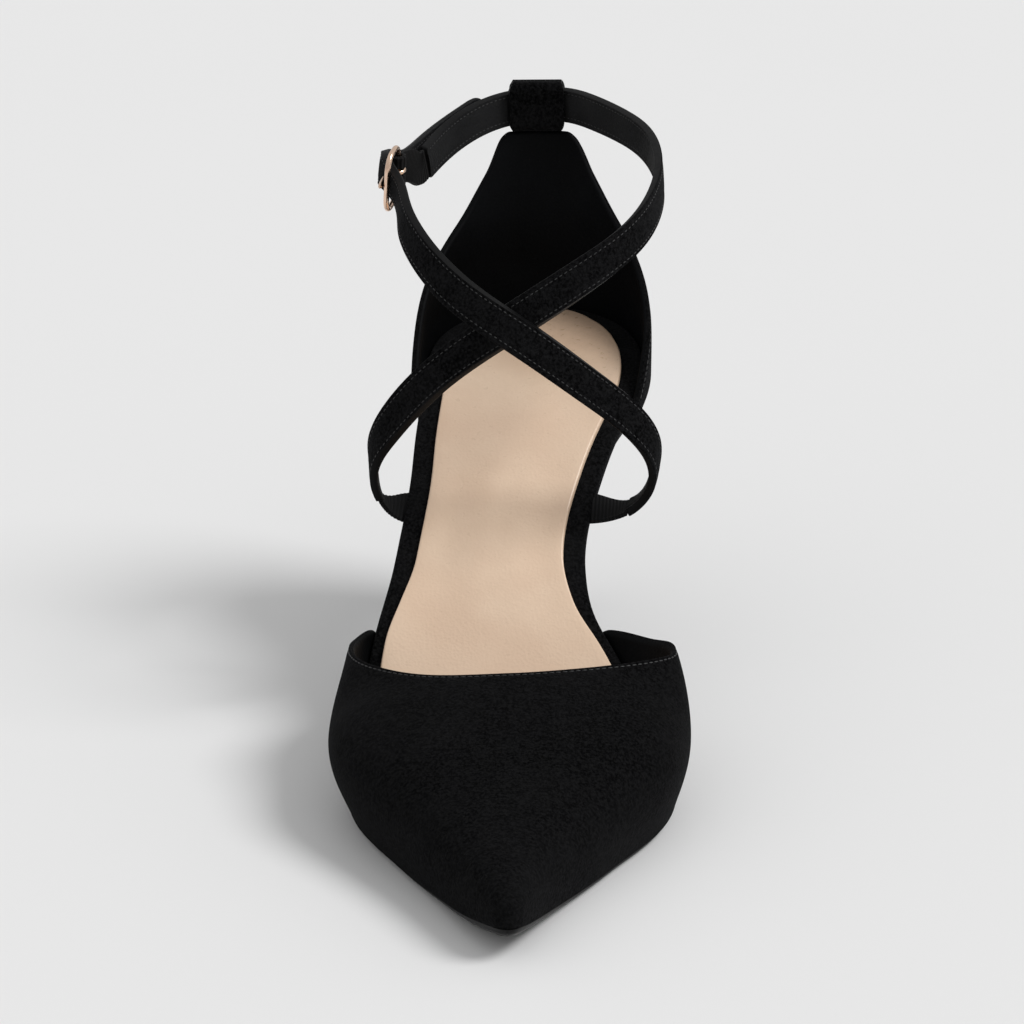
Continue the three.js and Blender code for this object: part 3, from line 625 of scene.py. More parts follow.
@dataclass(frozen=True)
class Webbing:
    """Elastic webbing: twisted threads in ribs across the band, paler on their crowns."""

    name: str = "elastic_black"
    deep: Triple = (0.002, 0.002, 0.0022)
    crown: Triple = (0.0075, 0.0075, 0.0082)
    pitch: float = 0.85

    def material(self) -> Material:
        """Builds the material from the weave attribute: run, across and face.

        Returns:
            The new material.
        """
        graph = Graph(self.name)
        split = graph.add("SeparateXYZ", Vector=graph.place(weave=True))
        turn = graph.math("MULTIPLY", split.outputs["X"], 2 * np.pi / self.pitch)
        rib = graph.shade(graph.math("SINE", turn), -1, 1, 0, 1)
        twist = graph.math("MULTIPLY", split.outputs["Y"], 2 * np.pi / (self.pitch * 0.45))
        lay = graph.math("SINE", graph.math("ADD", twist, graph.math("MULTIPLY", turn, 0.5)))
        thread = graph.shade(lay, -1, 1, 0.55, 1)
        crown = graph.math("MULTIPLY", rib, thread)
        graph.set(Base_Color=graph.mix(crown, self.deep, self.crown), Roughness=0.75)
        graph.set(Sheen_Weight=0.02, Specular_IOR_Level=0.12)
        graph.bump((crown, 0.12), (graph.noise(0.3), 0.05))
        return graph.material


@dataclass(frozen=True)
class Thread:
    """Sewing thread: a tight twist with a faint shine."""

    name: str = "thread_black"
    base: Triple = (0.004, 0.004, 0.0043)
    crown: Triple = (0.018, 0.018, 0.0195)

    def material(self) -> Material:
        """Builds the material.

        Returns:
            The new material.
        """
        graph = Graph(self.name)
        fluff = graph.noise(0.35, 3)
        share = graph.shade(fluff, 0.35, 0.7, 0, 1)
        graph.set(Base_Color=graph.mix(share, self.base, self.crown), Roughness=0.5)
        graph.bump((fluff, 0.05))
        return graph.material


@dataclass(frozen=True)
class PlatedMetal:
    """Plated metal, polished, with faint wipe marks and a little tarnish in patches."""

    name: str = "rose_gold"
    base: Triple = (0.86, 0.63, 0.48)
    dull: Triple = (0.66, 0.45, 0.34)

    def material(self) -> Material:
        """Builds the material.

        Returns:
            The new material.
        """
        graph = Graph(self.name)
        tarnish = graph.noise(2.5, 3)
        wipe = graph.noise(0.6, 2, 0.6, graph.place((1, 0.2, 1)))
        graph.set(Base_Color=graph.mix(graph.shade(tarnish, 0.45, 0.75, 0, 0.7), self.base, self.dull))
        graph.set(Metallic=1.0, Roughness=graph.shade(wipe, 0.3, 0.7, 0.14, 0.3))
        graph.bump((wipe, 0.01))
        return graph.material


@dataclass(frozen=True)
class StudioPaper:
    """Pale seamless paper."""

    name: str = "studio_paper"
    base: Triple = (0.8, 0.8, 0.8)

    def material(self) -> Material:
        """Builds the material.

        Returns:
            The new material.
        """
        graph = Graph(self.name)
        tone = graph.mix(graph.noise(300, 2), self.base, tuple(value * 0.985 for value in self.base))
        graph.set(Base_Color=tone, Roughness=0.75, Specular_IOR_Level=0.25)
        return graph.material


class Wardrobe:
    """Every finish of the shoe, built once and shared."""

    def __init__(self) -> None:
        """Builds the materials."""
        self.suede = Suede().material()
        self.strap_suede = Suede(
            "strap_suede_black",
            (0.0008, 0.0008, 0.0009), (0.0085, 0.0085, 0.009), (0.0145, 0.0145, 0.0152), 0.7,
        ).material()
        self.lining = SmoothLeather(
            "lining_black", (0.0012, 0.0013, 0.0015), (0.0034, 0.0037, 0.0043), 0.6, 0.9, 0.05, gloss=0.05
        ).material()
        self.backing = SmoothLeather(
            "strap_backing_black", (0.0045, 0.0046, 0.0049), (0.013, 0.0133, 0.014), 0.6, 0.7, 0.1, gloss=0.12
        ).material()
        self.edge = SmoothLeather(
            "edge_paint_black", (0.002, 0.002, 0.0022), (0.006, 0.006, 0.0065), 0.5, 0.6, 0.02, gloss=0.1
        ).material()
        self.sock = SmoothLeather(
            "sock_beige", (0.82, 0.625, 0.46), (0.735, 0.535, 0.385), 0.31, 0.8, 0.045, 0.2,
            # The seat colour is a painted shadow of the counter's wall on the sock's heel end.
            seat=(0.3, 0.2, 0.13),
        ).material()
        self.sole = Gloss("sole_edge_black", (0.0022, 0.0022, 0.0024), 0.32, 0.07).material()
        self.lift = Gloss("lift_black", (0.01, 0.01, 0.01), 0.4, 0.1).material()
        self.webbing = Webbing().material()
        self.thread = Thread().material()
        self.metal = PlatedMetal().material()
        self.paper = StudioPaper().material()


class Slot(Enum):
    """Names of the material slots."""

    SUEDE = "suede"
    SOCK = "sock_leather"
    SOLE = "sole"
    LIFT = "top_lift"
    ELASTIC = "elastic"
    METAL = "buckle_metal"


def dress(piece: Piece, slot: Slot, materials: list[Material], *stands_for: str) -> None:
    """Gives a piece its finishes and its place in the frame, and reports it.

    Args:
        piece: The object.
        slot: Not used.
        materials: Materials by the mesh's material numbers.
        stands_for: CAD nodes that the piece replaces.
    """
    for material in materials:
        piece.data.materials.append(material)
    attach(piece, "root")
    if stands_for:
        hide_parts(*stands_for)
    log.info("%s: %d faces", piece.name, len(piece.data.polygons))


def line_wall(name: str, grid: Array, turn: int, wardrobe: Wardrobe, node: str) -> None:
    """Builds and dresses a wall with suede outside and lining inside.

    Args:
        name: Name of the piece.
        grid: Rows of points up the outer face, over the edge and down inside.
        turn: Column at which the lining starts.
        wardrobe: The finishes.
        node: CAD node that the wall replaces.
    """
    slots = np.zeros(grid.shape[1] - 1, int)
    slots[turn:] = 1
    dress(wall_piece(name, grid, slots), Slot.SUEDE, [wardrobe.suede, wardrobe.lining], node)


@dataclass(frozen=True)
class Seam:
    """Row of stitches along a folded edge, with the samples and small steps that place and turn them."""

    ends: tuple[float, float]
    pitch: float
    samples: int
    step: float
    shifts: tuple[float, float]

    def sew(self, name: str, row: Callable[..., Array], thread: Material) -> None:
        """Builds and dresses the row.

        Args:
            name: Name of the piece.
            row: Points of the row from a place along the edge and a shift across it.
            thread: Material of the stitches.
        """
        places = blend(*self.ends, evenly(row(np.linspace(*self.ends, self.samples)), self.pitch))
        along = row(places + self.step) - row(places - self.step)
        across = row(places, self.shifts[1]) - row(places, self.shifts[0])
        stitches = Stitches().piece(name, [(row(places), along, np.cross(across, along))])
        dress(stitches, Slot.SUEDE, [thread])


# The foot bed that every piece follows
class Side(Enum):
    """Sides of a right shoe."""

    OUTER = -1
    INNER = 1


@dataclass
class FootBed:
    """Foot line, foot bed outline and the levels of the layers above the floor."""

    sole_length: float = 231.2
    ball_width: float = 72.6
    waist_width: float = 46.1
    seat_width: float = 55.2
    heel_rise: float = 73.5
    toe_spring: float = 5.4
    tread_front: float = 0.1854
    tread_back: float = 0.3393
    ankle_height: float = 53.6
    gap: float = 0.3
    outsole: float = 1.8
    board: float = 2.6
    sock: float = 1.0
    probe: float = 0.001

    def __post_init__(self) -> None:
        """Works out the curves from the tables of shares."""
        line = table(
            "along rise",
            (self.tread_back, 0), (0.4117, 0.06), (0.4942, 0.205), (0.5967, 0.46), (0.6998, 0.7),
            (0.8029, 0.865), (0.9055, 0.9547), (1.0091, 1), (1.0503, 1.012),
        )
        ball, waist, seat = self.ball_width, self.waist_width, self.seat_width
        bed = table(
            "along half centre",
            (0, 0, 0.025), (0.0203, 0.048 * ball, 0.017), (0.0636, 0.112 * ball, 0.002),
            (0.1155, 0.189 * ball, -0.004), (0.1609, 0.264 * ball, -0.008), (0.2042, 0.337 * ball, -0.01),
            (0.2647, 0.437 * ball, -0.011), (0.3209, 0.488 * ball, -0.015), (0.3814, 0.5 * ball, -0.026),
            (0.4248, 0.482 * ball, -0.043), (0.468, 0.449 * ball, -0.069), (0.5113, 0.409 * ball, -0.099),
            (0.5459, 0.57 * waist, -0.123), (0.5848, 0.516 * waist, -0.124), (0.6107, 0.5 * waist, -0.119),
            (0.6842, 0.51 * waist, -0.081), (0.7275, 0.449 * seat, -0.058), (0.8141, 0.495 * seat, -0.008),
            (0.8573, 0.5 * seat, 0), (0.9005, 0.4765 * seat, 0), (0.9438, 0.3977 * seat, 0),
            (0.9784, 0.2645 * seat, 0), (1, 0, 0),
        )
        self.rise = NaturalCurve(line["along"], line["rise"], level_start=True)
        self.line_end = float(line["along"][-1])
        self.half = NaturalCurve(self.station(bed["along"]), bed["half"])
        self.centre = NaturalCurve(self.station(bed["along"]), bed["centre"] * ball)

    @property
    def toe_y(self) -> float:
        """Where the foot bed's toe lies, with the tread's middle at 0."""
        return -self.sole_length * (self.tread_front + self.tread_back) / 2

    @property
    def board_low(self) -> float:
        """Depth of the insole board's underside."""
        return self.outsole + self.gap

    @property
    def board_high(self) -> float:
        """Depth of the insole board's top."""
        return self.board_low + self.board

    @staticmethod
    def station(along: Array) -> Array:
        """Station of a share of the length: closer together at both ends."""
        return np.arccos(1 - 2 * np.clip(along, 0, 1)) / np.pi

    @staticmethod
    def along(station: Array) -> Array:
        """Share of the length at a station: half of 1 - cos(pi station)."""
        return (1 - np.cos(np.pi * np.asarray(station))) / 2

    def foot_line(self, along: Array) -> Array:
        """Height of the outsole's underside: a parabola at the toe, flat under the ball, then the arch.

        Args:
            along: Shares of the length from the toe.

        Returns:
            Heights above the floor.
        """
        front = np.clip((self.tread_front - along) / self.tread_front, 0, None)
        arch = self.heel_rise * self.rise(np.clip(along, self.tread_back, self.line_end))
        return np.where(along < self.tread_back, self.toe_spring * front**2, arch)

    def level(self, y: Array, depth: Array) -> Array:
        """Height of a layer above the floor.

        Args:
            y: Places along the shoe.
            depth: Distance from the outsole's underside, square to it.

        Returns:
            Heights above the floor.
        """
        along = (y - self.toe_y) / self.sole_length
        run = 2 * self.probe * self.sole_length
        slope = (self.foot_line(along + self.probe) - self.foot_line(along - self.probe)) / run
        return self.foot_line(along) + depth * np.sqrt(1 + slope * slope)

    def bed_point(self, station: Array, side: Array) -> Array:
        """Point of the foot bed's edge: its middle moved by half its width.

        Args:
            station: Stations from the toe at 0 to the heel at 1.
            side: 1 for the inner side, -1 for the outer.

        Returns:
            Points in the plan, x and y.
        """
        x = self.centre(station) + side * self.half(station)
        y = self.toe_y + self.sole_length * self.along(station) + 0 * x
        return np.stack([x, y], -1)

    def edge_point(self, station: Array, side: Array, margin: Array) -> Array:
        """Point of the foot bed's edge, moved square to it by a margin.

        Args:
            station: Stations from the toe at 0 to the heel at 1.
            side: 1 for the inner side, -1 for the outer.
            margin: Distance outwards.

        Returns:
            Points in the plan, x and y.
        """
        station, side, margin = np.broadcast_arrays(station, side, margin)
        run = unit(self.bed_point(station + self.probe, side) - self.bed_point(station - self.probe, side))
        out = np.stack([run[..., 1], -run[..., 0]], -1)
        return self.bed_point(station, side) + out * (side * margin)[..., None]


# Layers under the foot
@dataclass
class Layers:
    """Outsole, insole board and sock lining: slabs along the foot line with rounded edges."""

    bed: FootBed
    wardrobe: Wardrobe
    stations: int = 260
    across: int = 26
    corner_steps: int = 5
    sole_setback: float = 1.0
    sole_bevel: float = 0.8
    seat_setback: float = 0.5
    waist_setback: float = 1.0
    vamp_wall: float = 1.8
    counter_wall: float = 2.0
    sock_inset: float = 5.3
    sock_fade: float = 0.12

    def __post_init__(self) -> None:
        """Works out the outsole's rim and the sock's inset along the shoe."""
        vamp_rim = self.bed.gap + self.vamp_wall - self.sole_setback
        seat_rim = self.bed.gap + self.counter_wall - self.seat_setback
        waist = -self.waist_setback
        rim = table(
            "along rim",
            (0, vamp_rim), (0.3, vamp_rim), (0.5, vamp_rim), (0.545, 0.3 * vamp_rim), (0.6, waist),
            (0.73, waist), (0.79, 0.5 * seat_rim), (0.84, seat_rim), (1, seat_rim),
        )
        inset = table("along inset", (0, 0.5), (0.52, 0.6), (0.56, 0.8), (0.6, 1), (0.9, 1), (1, 0.7))
        self.rim = SteadyCurve(rim["along"], rim["rim"])
        self.inset = SteadyCurve(inset["along"], inset["inset"] * self.sock_inset)

    def sole_edge(self, station: Array, side: Array, inset: Array) -> Array:
        """Plan point of the outsole's edge, drawn in by an inset."""
        return self.bed.edge_point(station, side, self.rim(self.bed.along(station)) - inset)

    def board_edge(self, station: Array, side: Array, inset: Array) -> Array:
        """Plan point of the insole board's edge, drawn in by an inset."""
        return self.bed.edge_point(station, side, -inset)

    def sock_edge(self, station: Array, side: Array, inset: Array) -> Array:
        """Plan point of the sock lining's edge: the foot bed narrowed, and shortened at both ends.

        Args:
            station: Stations from the toe at 0 to the heel at 1.
            side: 1 for the inner side, -1 for the outer.
            inset: Distance by which the edge is drawn in.

        Returns:
            Points in the plan, x and y.
        """
        fade = np.minimum(1, np.sin(np.pi * station) / np.sin(np.pi * self.sock_fade))
        front, back = self.inset(0) + inset, self.inset(1) + inset
        drawn = (self.inset(self.bed.along(station)) + inset) * fade
        x = self.bed.centre(station) + side * (self.bed.half(station) - drawn)
        y = self.bed.toe_y + front + (self.bed.sole_length - front - back) * self.bed.along(station)
        return np.stack(np.broadcast_arrays(x, y), -1)

    def slab(
        self,
        edge: Callable[..., Array],
        low: float,
        high: float,
        corner: float,
        bevel: float,
        relief: Callable[..., Array] | None = None,
    ) -> Array:
        """Rings round a slab: up the outer edge, across the top, down the inner edge and back underneath.

        A corner is a quarter circle of inset and depth. The top may carry a relief, a height that depends
        on the share of the length and the share of the width.

        Args:
            edge: Plan point as a function of station, side and inset.
            low: Depth of the underside.
            high: Depth of the top.
            corner: Radius of the top corners.
            bevel: Inset of the underside.
            relief: Height added to the top, from along and across.

        Returns:
            One ring for each station.
        """
        station = np.linspace(0, 1, self.stations)[:, None]
        turn = np.linspace(0, np.pi / 2, self.corner_steps)
        inset = np.r_[bevel, 0, corner * (1 - np.cos(turn))][None]
        depth = np.r_[low, min(low + bevel, high - corner), high - corner + corner * np.sin(turn)]
        share = np.linspace(0, 1, self.across)[1:-1]
        rising = [edge(station, side.value, inset) for side in Side]
        top = blend(rising[0][:, -1:], rising[1][:, -1:], share[None, :, None])
        under = blend(rising[1][:, :1], rising[0][:, :1], share[None, :, None])
        plan = np.concatenate([rising[0], top, rising[1][:, ::-1], under], 1)
        depths = np.r_[depth, np.full(len(share), high), depth[::-1], np.full(len(share), low)]
        level = self.bed.level(plan[..., 1], depths)
        if relief is not None:
            first = len(depth) - 1
            width = np.r_[0, share, 1]
            level[:, first:first + len(width)] += relief(self.bed.along(station), width[None])
        return np.concatenate([plan, level[..., None]], -1)

    @staticmethod
    def sock_relief(along: Array, across: Array) -> Array:
        """Soft troughs and pads pressed into the sock lining, which fade at its edges.

        Each is a bell shape: its height, then its place and reach along the shoe and across it.

        Args:
            along: Shares of the length.
            across: Shares of the width.

        Returns:
            Heights added to the top.
        """
        pads = (
            (0.3, 0.46, 0.05, -0.35, 0.5), (-0.85, 0.63, 0.08, -0.7, 0.22), (0.8, 0.63, 0.09, -0.12, 0.26),
            (0.8, 0.63, 0.09, 0.3, 0.26), (-0.5, 0.63, 0.06, 0.8, 0.16), (-0.4, 0.88, 0.07, 0, 0.6),
            (0.2, 0.74, 0.04, 0.1, 0.7), (-0.3, 0.36, 0.05, 0.1, 0.6),
        )
        middle = 2 * across - 1
        total = sum(pad[0] * hump(along, *pad[1:3]) * hump(middle, *pad[3:]) for pad in pads)
        return total * (1 - middle**2)

    def build(self) -> None:
        """Builds and dresses the three layers."""
        bed = self.bed
        outsole = self.slab(self.sole_edge, 0, bed.outsole, corner=0.35, bevel=self.sole_bevel)
        dress(swept_piece("outsole_skin", outsole), Slot.SOLE, [self.wardrobe.sole], "outsole")
        board = self.slab(self.board_edge, bed.board_low, bed.board_high, corner=0.9, bevel=0.3)
        dress(swept_piece("board_wrap", board), Slot.SUEDE, [self.wardrobe.strap_suede], "insole_board")
        low = bed.board_high + bed.gap / 2
        high = bed.board_high + bed.gap + bed.sock
        sock = self.slab(self.sock_edge, low, high, corner=0.55, bevel=0, relief=self.sock_relief)
        dress(swept_piece("sock_lining", sock), Slot.SOCK, [self.wardrobe.sock], "insole_sock")


# Upper
@dataclass
class Vamp:
    """Pointed vamp: a wall over the toes whose topline is folded and stitched."""

    bed: FootBed
    wardrobe: Wardrobe
    height: float = 35.0
    wall: float = 1.8
    roundness: float = 2 / 2.4
    around: int = 200
    along: int = 96
    crowd: float = 1.5
    edge_steps: int = 6
    seam_inset: float = 1.3
    seam_depth: float = 0.2
    seam_width: float = 0.5
    stitching: Seam = Seam((0.02, 0.98), 1.55, 600, 0.002, (-0.4, 0.4))

    def __post_init__(self) -> None:
        """Works out the form's curves from the tables of shares."""
        form = table(
            "along ridge outer inner",
            (0, 0.13, 0, 0), (0.0182, 0.27, 0.004, 0.004), (0.0701, 0.415, 0.016, 0.014),
            (0.1306, 0.555, 0.045, 0.038), (0.1825, 0.665, 0.078, 0.066), (0.2777, 0.83, 0.132, 0.108),
            (0.3296, 0.9, 0.13, 0.112), (0.3814, 0.957, 0.11, 0.12), (0.4248, 1, 0.085, 0.134),
            (0.4771, 1.03, 0.06, 0.146), (0.5575, 1.05, 0.01, 0.118),
        )
        top = table(
            "round along",
            (0, 0.543), (0.06, 0.5055), (0.12, 0.4729), (0.18, 0.4417), (0.25, 0.4074), (0.33, 0.374),
            (0.42, 0.3465), (0.5, 0.3442), (0.58, 0.3575), (0.66, 0.3789), (0.74, 0.4057), (0.8, 0.4315),
            (0.86, 0.4636), (0.92, 0.4925), (1, 0.5415),
        )
        station = self.bed.station(form["along"])
        self.ridge = NaturalCurve(station, form["ridge"] * self.height)
        self.outer = NaturalCurve(station, form["outer"] * self.bed.ball_width)
        self.inner = NaturalCurve(station, form["inner"] * self.bed.ball_width)
        self.topline = NaturalCurve(top["round"], top["along"])

    def point(self, around: Array, share: Array, inward: Array) -> Array:
        """Point of the vamp's wall.

        A section is half a superellipse between the two feather edges, with its ridge's height, pushed out at
        both sides by a bulge times sin(2 angle).

        Args:
            around: From the outer feather edge at 0 over the ridge to the inner one at 1.
            share: From the toe at 0 to the topline at 1.
            inward: Depth below the outer face.

        Returns:
            Points in space.
        """
        around, share, inward = np.broadcast_arrays(around, share, inward)
        station = share * self.bed.station(self.topline(around))
        angle = np.pi * around
        margin = self.bed.gap + self.wall - inward
        outer = self.bed.edge_point(station, -1, margin)
        inner = self.bed.edge_point(station, 1, margin)
        cosine = np.cos(angle)
        across = np.sign(cosine) * np.abs(cosine) ** self.roundness
        up = np.abs(np.sin(angle)) ** self.roundness
        bulge = np.where(around < 0.5, self.outer(station), self.inner(station)) * np.sin(2 * angle)
        plan = blend(outer, inner, ((1 - across) / 2)[..., None])
        ridge = self.ridge(station)
        thinned = ridge - inward * (1 - np.exp(-ridge / (2 * self.wall)))
        z = self.bed.level(plan[..., 1], self.bed.board_low) + thinned * up
        return np.stack([plan[..., 0] - bulge, plan[..., 1], z], -1)

    def fold(self, around: Array) -> Array:
        """Share of the way to the topline at which the face turns into the rounded rim."""
        end = self.bed.station(self.topline(around))
        return self.bed.station(self.bed.along(end) - self.wall / 2 / self.bed.sole_length) / end

    def seam(self, around: Array, share: Array) -> Array:
        """Depth of the soft trough that the stitching pulls into the face, a bell shape along the topline.

        Args:
            around: From the outer feather edge at 0 to the inner one at 1.
            share: From the toe at 0 to the topline at 1.

        Returns:
            Depths.
        """
        end = self.bed.station(self.topline(around))
        left = (self.bed.along(end) - self.bed.along(share * end)) * self.bed.sole_length
        return self.seam_depth * hump(left, self.seam_inset, self.seam_width)

    def grid(self) -> Array:
        """Rows that each run from the toe to the topline, round its folded edge and back inside.

        Returns:
            The grid of points.
        """
        around = np.linspace(0, 1, self.around)[:, None]
        share = (1 - (1 - np.linspace(0, 1, self.along)) ** self.crowd)[None] * self.fold(around)
        face = self.point(around, share, self.seam(around, share))
        inside = self.point(around, share[:, ::-1], self.wall)
        turn = np.linspace(0, np.pi, self.edge_steps + 2)[None, 1:-1]
        depth = self.wall * (1 - np.cos(turn)) / 2
        rim = self.point(around, self.fold(around), depth)
        before = self.fold(around) - 0.01
        run = unit(rim - self.point(around, before, depth))
        rim = rim + run * (np.sin(turn) * self.wall / 2)[..., None]
        return np.concatenate([face, rim, inside], 1)

    def build(self) -> None:
        """Builds and dresses the vamp and its row of stitches."""
        line_wall("vamp_upper", self.grid(), self.along + self.edge_steps // 2, self.wardrobe, "vamp")
        self.stitching.sew("vamp_stitches", self.seam_row, self.wardrobe.thread)

    def seam_row(self, around: Array, shift: float = 0.0) -> Array:
        """Points of the stitch row, a set distance in front of the topline, sunk into its trough.

        Args:
            around: From the outer feather edge at 0 to the inner one at 1.
            shift: Distance further to the front.

        Returns:
            Points in space.
        """
        end = self.bed.station(self.topline(around))
        along = self.bed.along(end) - (self.seam_inset + shift) / self.bed.sole_length
        share = self.bed.station(along) / end
        return self.point(around, share, self.seam_depth * 0.75)


@dataclass
class Counter:
    """Closed heel cup: a wall round the seat, highest in the middle of the back, with a leather lining."""

    bed: FootBed
    wardrobe: Wardrobe
    wall: float = 2.0
    start: float = 0.7788
    loop_up: float = 1.003
    loop_wall: float = 1.2
    loop_play: float = 1.6
    strap_width: float = 9.0
    around: int = 260
    up: int = 56
    crowd: float = 1.4
    edge_steps: int = 6
    seam_inset: float = 1.4
    seam_depth: float = 0.2
    seam_width: float = 0.5
    stitching: Seam = Seam((-0.97, 0.97), 1.6, 800, 0.003, (0, 0.5))

    def __post_init__(self) -> None:
        """Works out the topline and the lean of the wall."""
        loop_rise = self.bed.board + self.loop_up * self.bed.ankle_height
        self.height = loop_rise - (self.strap_width + self.loop_play) / 2 - self.loop_wall - self.bed.gap
        top = table(
            "round height",
            (0, 1), (0.14, 1), (0.175, 0.98), (0.269, 0.8), (0.394, 0.63), (0.5, 0.535), (0.611, 0.445),
            (0.75, 0.335), (0.88, 0.225), (1, 0.085),
        )
        lean = table(
            "up out sway",
            (0, 0, 0), (0.15, 0.2, -0.12), (0.27, 0.12, -0.08), (0.42, -0.28, 0.06), (0.56, -0.42, 0.24),
            (0.72, -0.2, 0.28), (0.87, -0.08, 0.32), (1, 0.05, 0.15),
        )
        self.topline = SteadyCurve(top["round"], top["height"] * self.height)
        self.out = NaturalCurve(lean["up"], lean["out"] * self.wall)
        self.sway = NaturalCurve(lean["up"], lean["sway"] * self.wall)

    def point(self, turn: Array, share: Array, inward: Array, lift: Array = 0.0) -> Array:
        """Point of the counter's wall.

        Args:
            turn: From the outer front corner at -1 round the back at 0 to the inner one at 1.
            share: From the feather edge at 0 to the topline at 1.
            inward: Depth below the outer face.
            lift: Height added above the topline.

        Returns:
            Points in space.
        """
        turn, share, inward, lift = np.broadcast_arrays(turn, share, inward, lift)
        front = self.bed.station(self.start)
        station = 1 - np.abs(turn) * (1 - front)
        height = self.topline(np.abs(turn)) * share + lift
        up = height / self.height
        margin = self.bed.gap + self.wall - inward + self.out(up)
        plan = self.bed.edge_point(station, np.where(turn < 0, -1, 1), margin)
        z = self.bed.level(plan[..., 1], self.bed.board_low) + height
        return np.stack([plan[..., 0] + self.sway(up), plan[..., 1], z], -1)

    def grid(self) -> Array:
        """Rows that each run up the outer face, over the rounded topline and down the lining.

        Returns:
            The grid of points.
        """
        turn = np.linspace(-1, 1, self.around)[:, None]
        top = self.topline(np.abs(turn))
        share = (1 - (1 - np.linspace(0, 1, self.up)) ** self.crowd)[None] * (1 - self.wall / 2 / top)
        left = top * (1 - share)
        face = self.point(turn, share, self.seam_depth * hump(left, self.seam_inset, self.seam_width))
        inside = self.point(turn, share[:, ::-1], self.wall)
        angle = np.linspace(0, np.pi, self.edge_steps + 2)[None, 1:-1]
        rim = self.point(turn, 1.0, self.wall * (1 - np.cos(angle)) / 2, (np.sin(angle) - 1) * self.wall / 2)
        return np.concatenate([face, rim, inside], 1)

    def seam_row(self, turn: Array, shift: float = 0.0) -> Array:
        """Points of the stitch row, a set distance below the topline, sunk into its trough."""
        return self.point(turn, 1.0, self.seam_depth * 0.75, -self.seam_inset + shift)

    def build(self) -> None:
        """Builds and dresses the counter and its row of stitches."""
        line_wall("counter_upper", self.grid(), self.up + self.edge_steps // 2, self.wardrobe, "counter")
        self.stitching.sew("counter_stitches", self.seam_row, self.wardrobe.thread)


# Heel
@dataclass
class Heel:
    """Slim covered heel: copies of the seat's outline that shrink and move forward on the way down."""

    bed: FootBed
    wardrobe: Wardrobe
    seat_rim: float = 1.8
    seat_setback: float = 0.5
    depth: float = 48.0
    shift: float = 15.0
    tip_width: float = 9.5
    tip_depth: float = 10.5
    lift_height: float = 5.0
    breast_bow: float = 0.08
    around: int = 44
    down: int = 70
    crisp: float = 35.0

    def __post_init__(self) -> None:
        """Works out the back line, the depth and the width on the way down."""
        form = table(
            "down shift depth width",
            (0, 0, 1, 1), (0.06, 0.03, 0.84, 0.93), (0.15, 0.12, 0.57, 0.72), (0.3, 0.37, 0.33, 0.42),
            (0.5, 0.67, 0.17, 0.19), (0.75, 0.89, 0.06, 0.06), (1, 1, 0, 0),
        )
        self.shifts = NaturalCurve(form["down"], form["shift"])
        self.depths = NaturalCurve(form["down"], form["depth"])
        self.widths = NaturalCurve(form["down"], form["width"])

    @cached_property
    def seat_back(self) -> float:
        """Where the seat's back lies."""
        return self.bed.toe_y + self.bed.sole_length + self.seat_rim

    def seat_ring(self) -> Array:
        """Plan of the heel's top: both sides from the back forwards, closed by a bowed breast line.

        Returns:
            Points of the ring, x and y.
        """
        front = self.bed.station((self.seat_back - self.depth - self.bed.toe_y) / self.bed.sole_length)
        share = np.linspace(0, 1, self.around + 1)
        margin = self.seat_rim - self.seat_setback
        sides = [self.bed.edge_point(1 - share * (1 - front), side.value, margin) for side in Side]
        breast = blend(sides[0][-1], sides[1][-1], share[:, None])
        breast[:, 1] += self.depth * self.breast_bow * np.sin(np.pi * share)
        return np.concatenate([sides[0], breast[1:-1], sides[1][::-1][:-1]])

    def rings(self, down: Array, low: float) -> Array:
        """Rings of the heel.

        Args:
            down: Shares of the way from the seat at 0 to the lift at 1.
            low: Height of the last ring.

        Returns:
            One ring for each share.
        """
        back = self.seat_back - self.seat_setback
        ring = self.seat_ring()[None]
        down = np.asarray(down, float)[:, None]
        width = blend(self.tip_width, self.bed.seat_width, self.widths(down)) / self.bed.seat_width
        depth = blend(self.tip_depth, self.depth, self.depths(down)) / self.depth
        x = ring[..., 0] * width
        y = back - self.shift * self.shifts(down) - (back - ring[..., 1]) * depth
        z = blend(self.bed.level(ring[..., 1], -self.bed.gap), low, down)
        return np.stack([x, y, z], -1)

    def build(self) -> None:
        """Builds and dresses the heel and its top lift."""
        rings = self.rings(np.linspace(0, 1, self.down), self.lift_height + self.bed.gap)
        heel = swept_piece("heel_cover", rings, sharp=self.crisp)
        dress(heel, Slot.SUEDE, [self.wardrobe.suede], "heel")
        ring = self.rings(np.array([1.0]), 0)[0]
        middle = ring.mean(0)
        top = self.lift_height
        profile = table("inset height", (0.6, 0), (0.15, 0.3), (0, 0.9), (0, top - 0.5), (0.35, top))
        shrink = 1 - profile["inset"] / (self.tip_width / 2)
        lift = middle + (ring - middle)[None] * shrink[:, None, None]
        lift[..., 2] = profile["height"][:, None]
        tip = swept_piece("top_lift", lift, sharp=self.crisp)
        dress(tip, Slot.LIFT, [self.wardrobe.lift], "heel_tip")


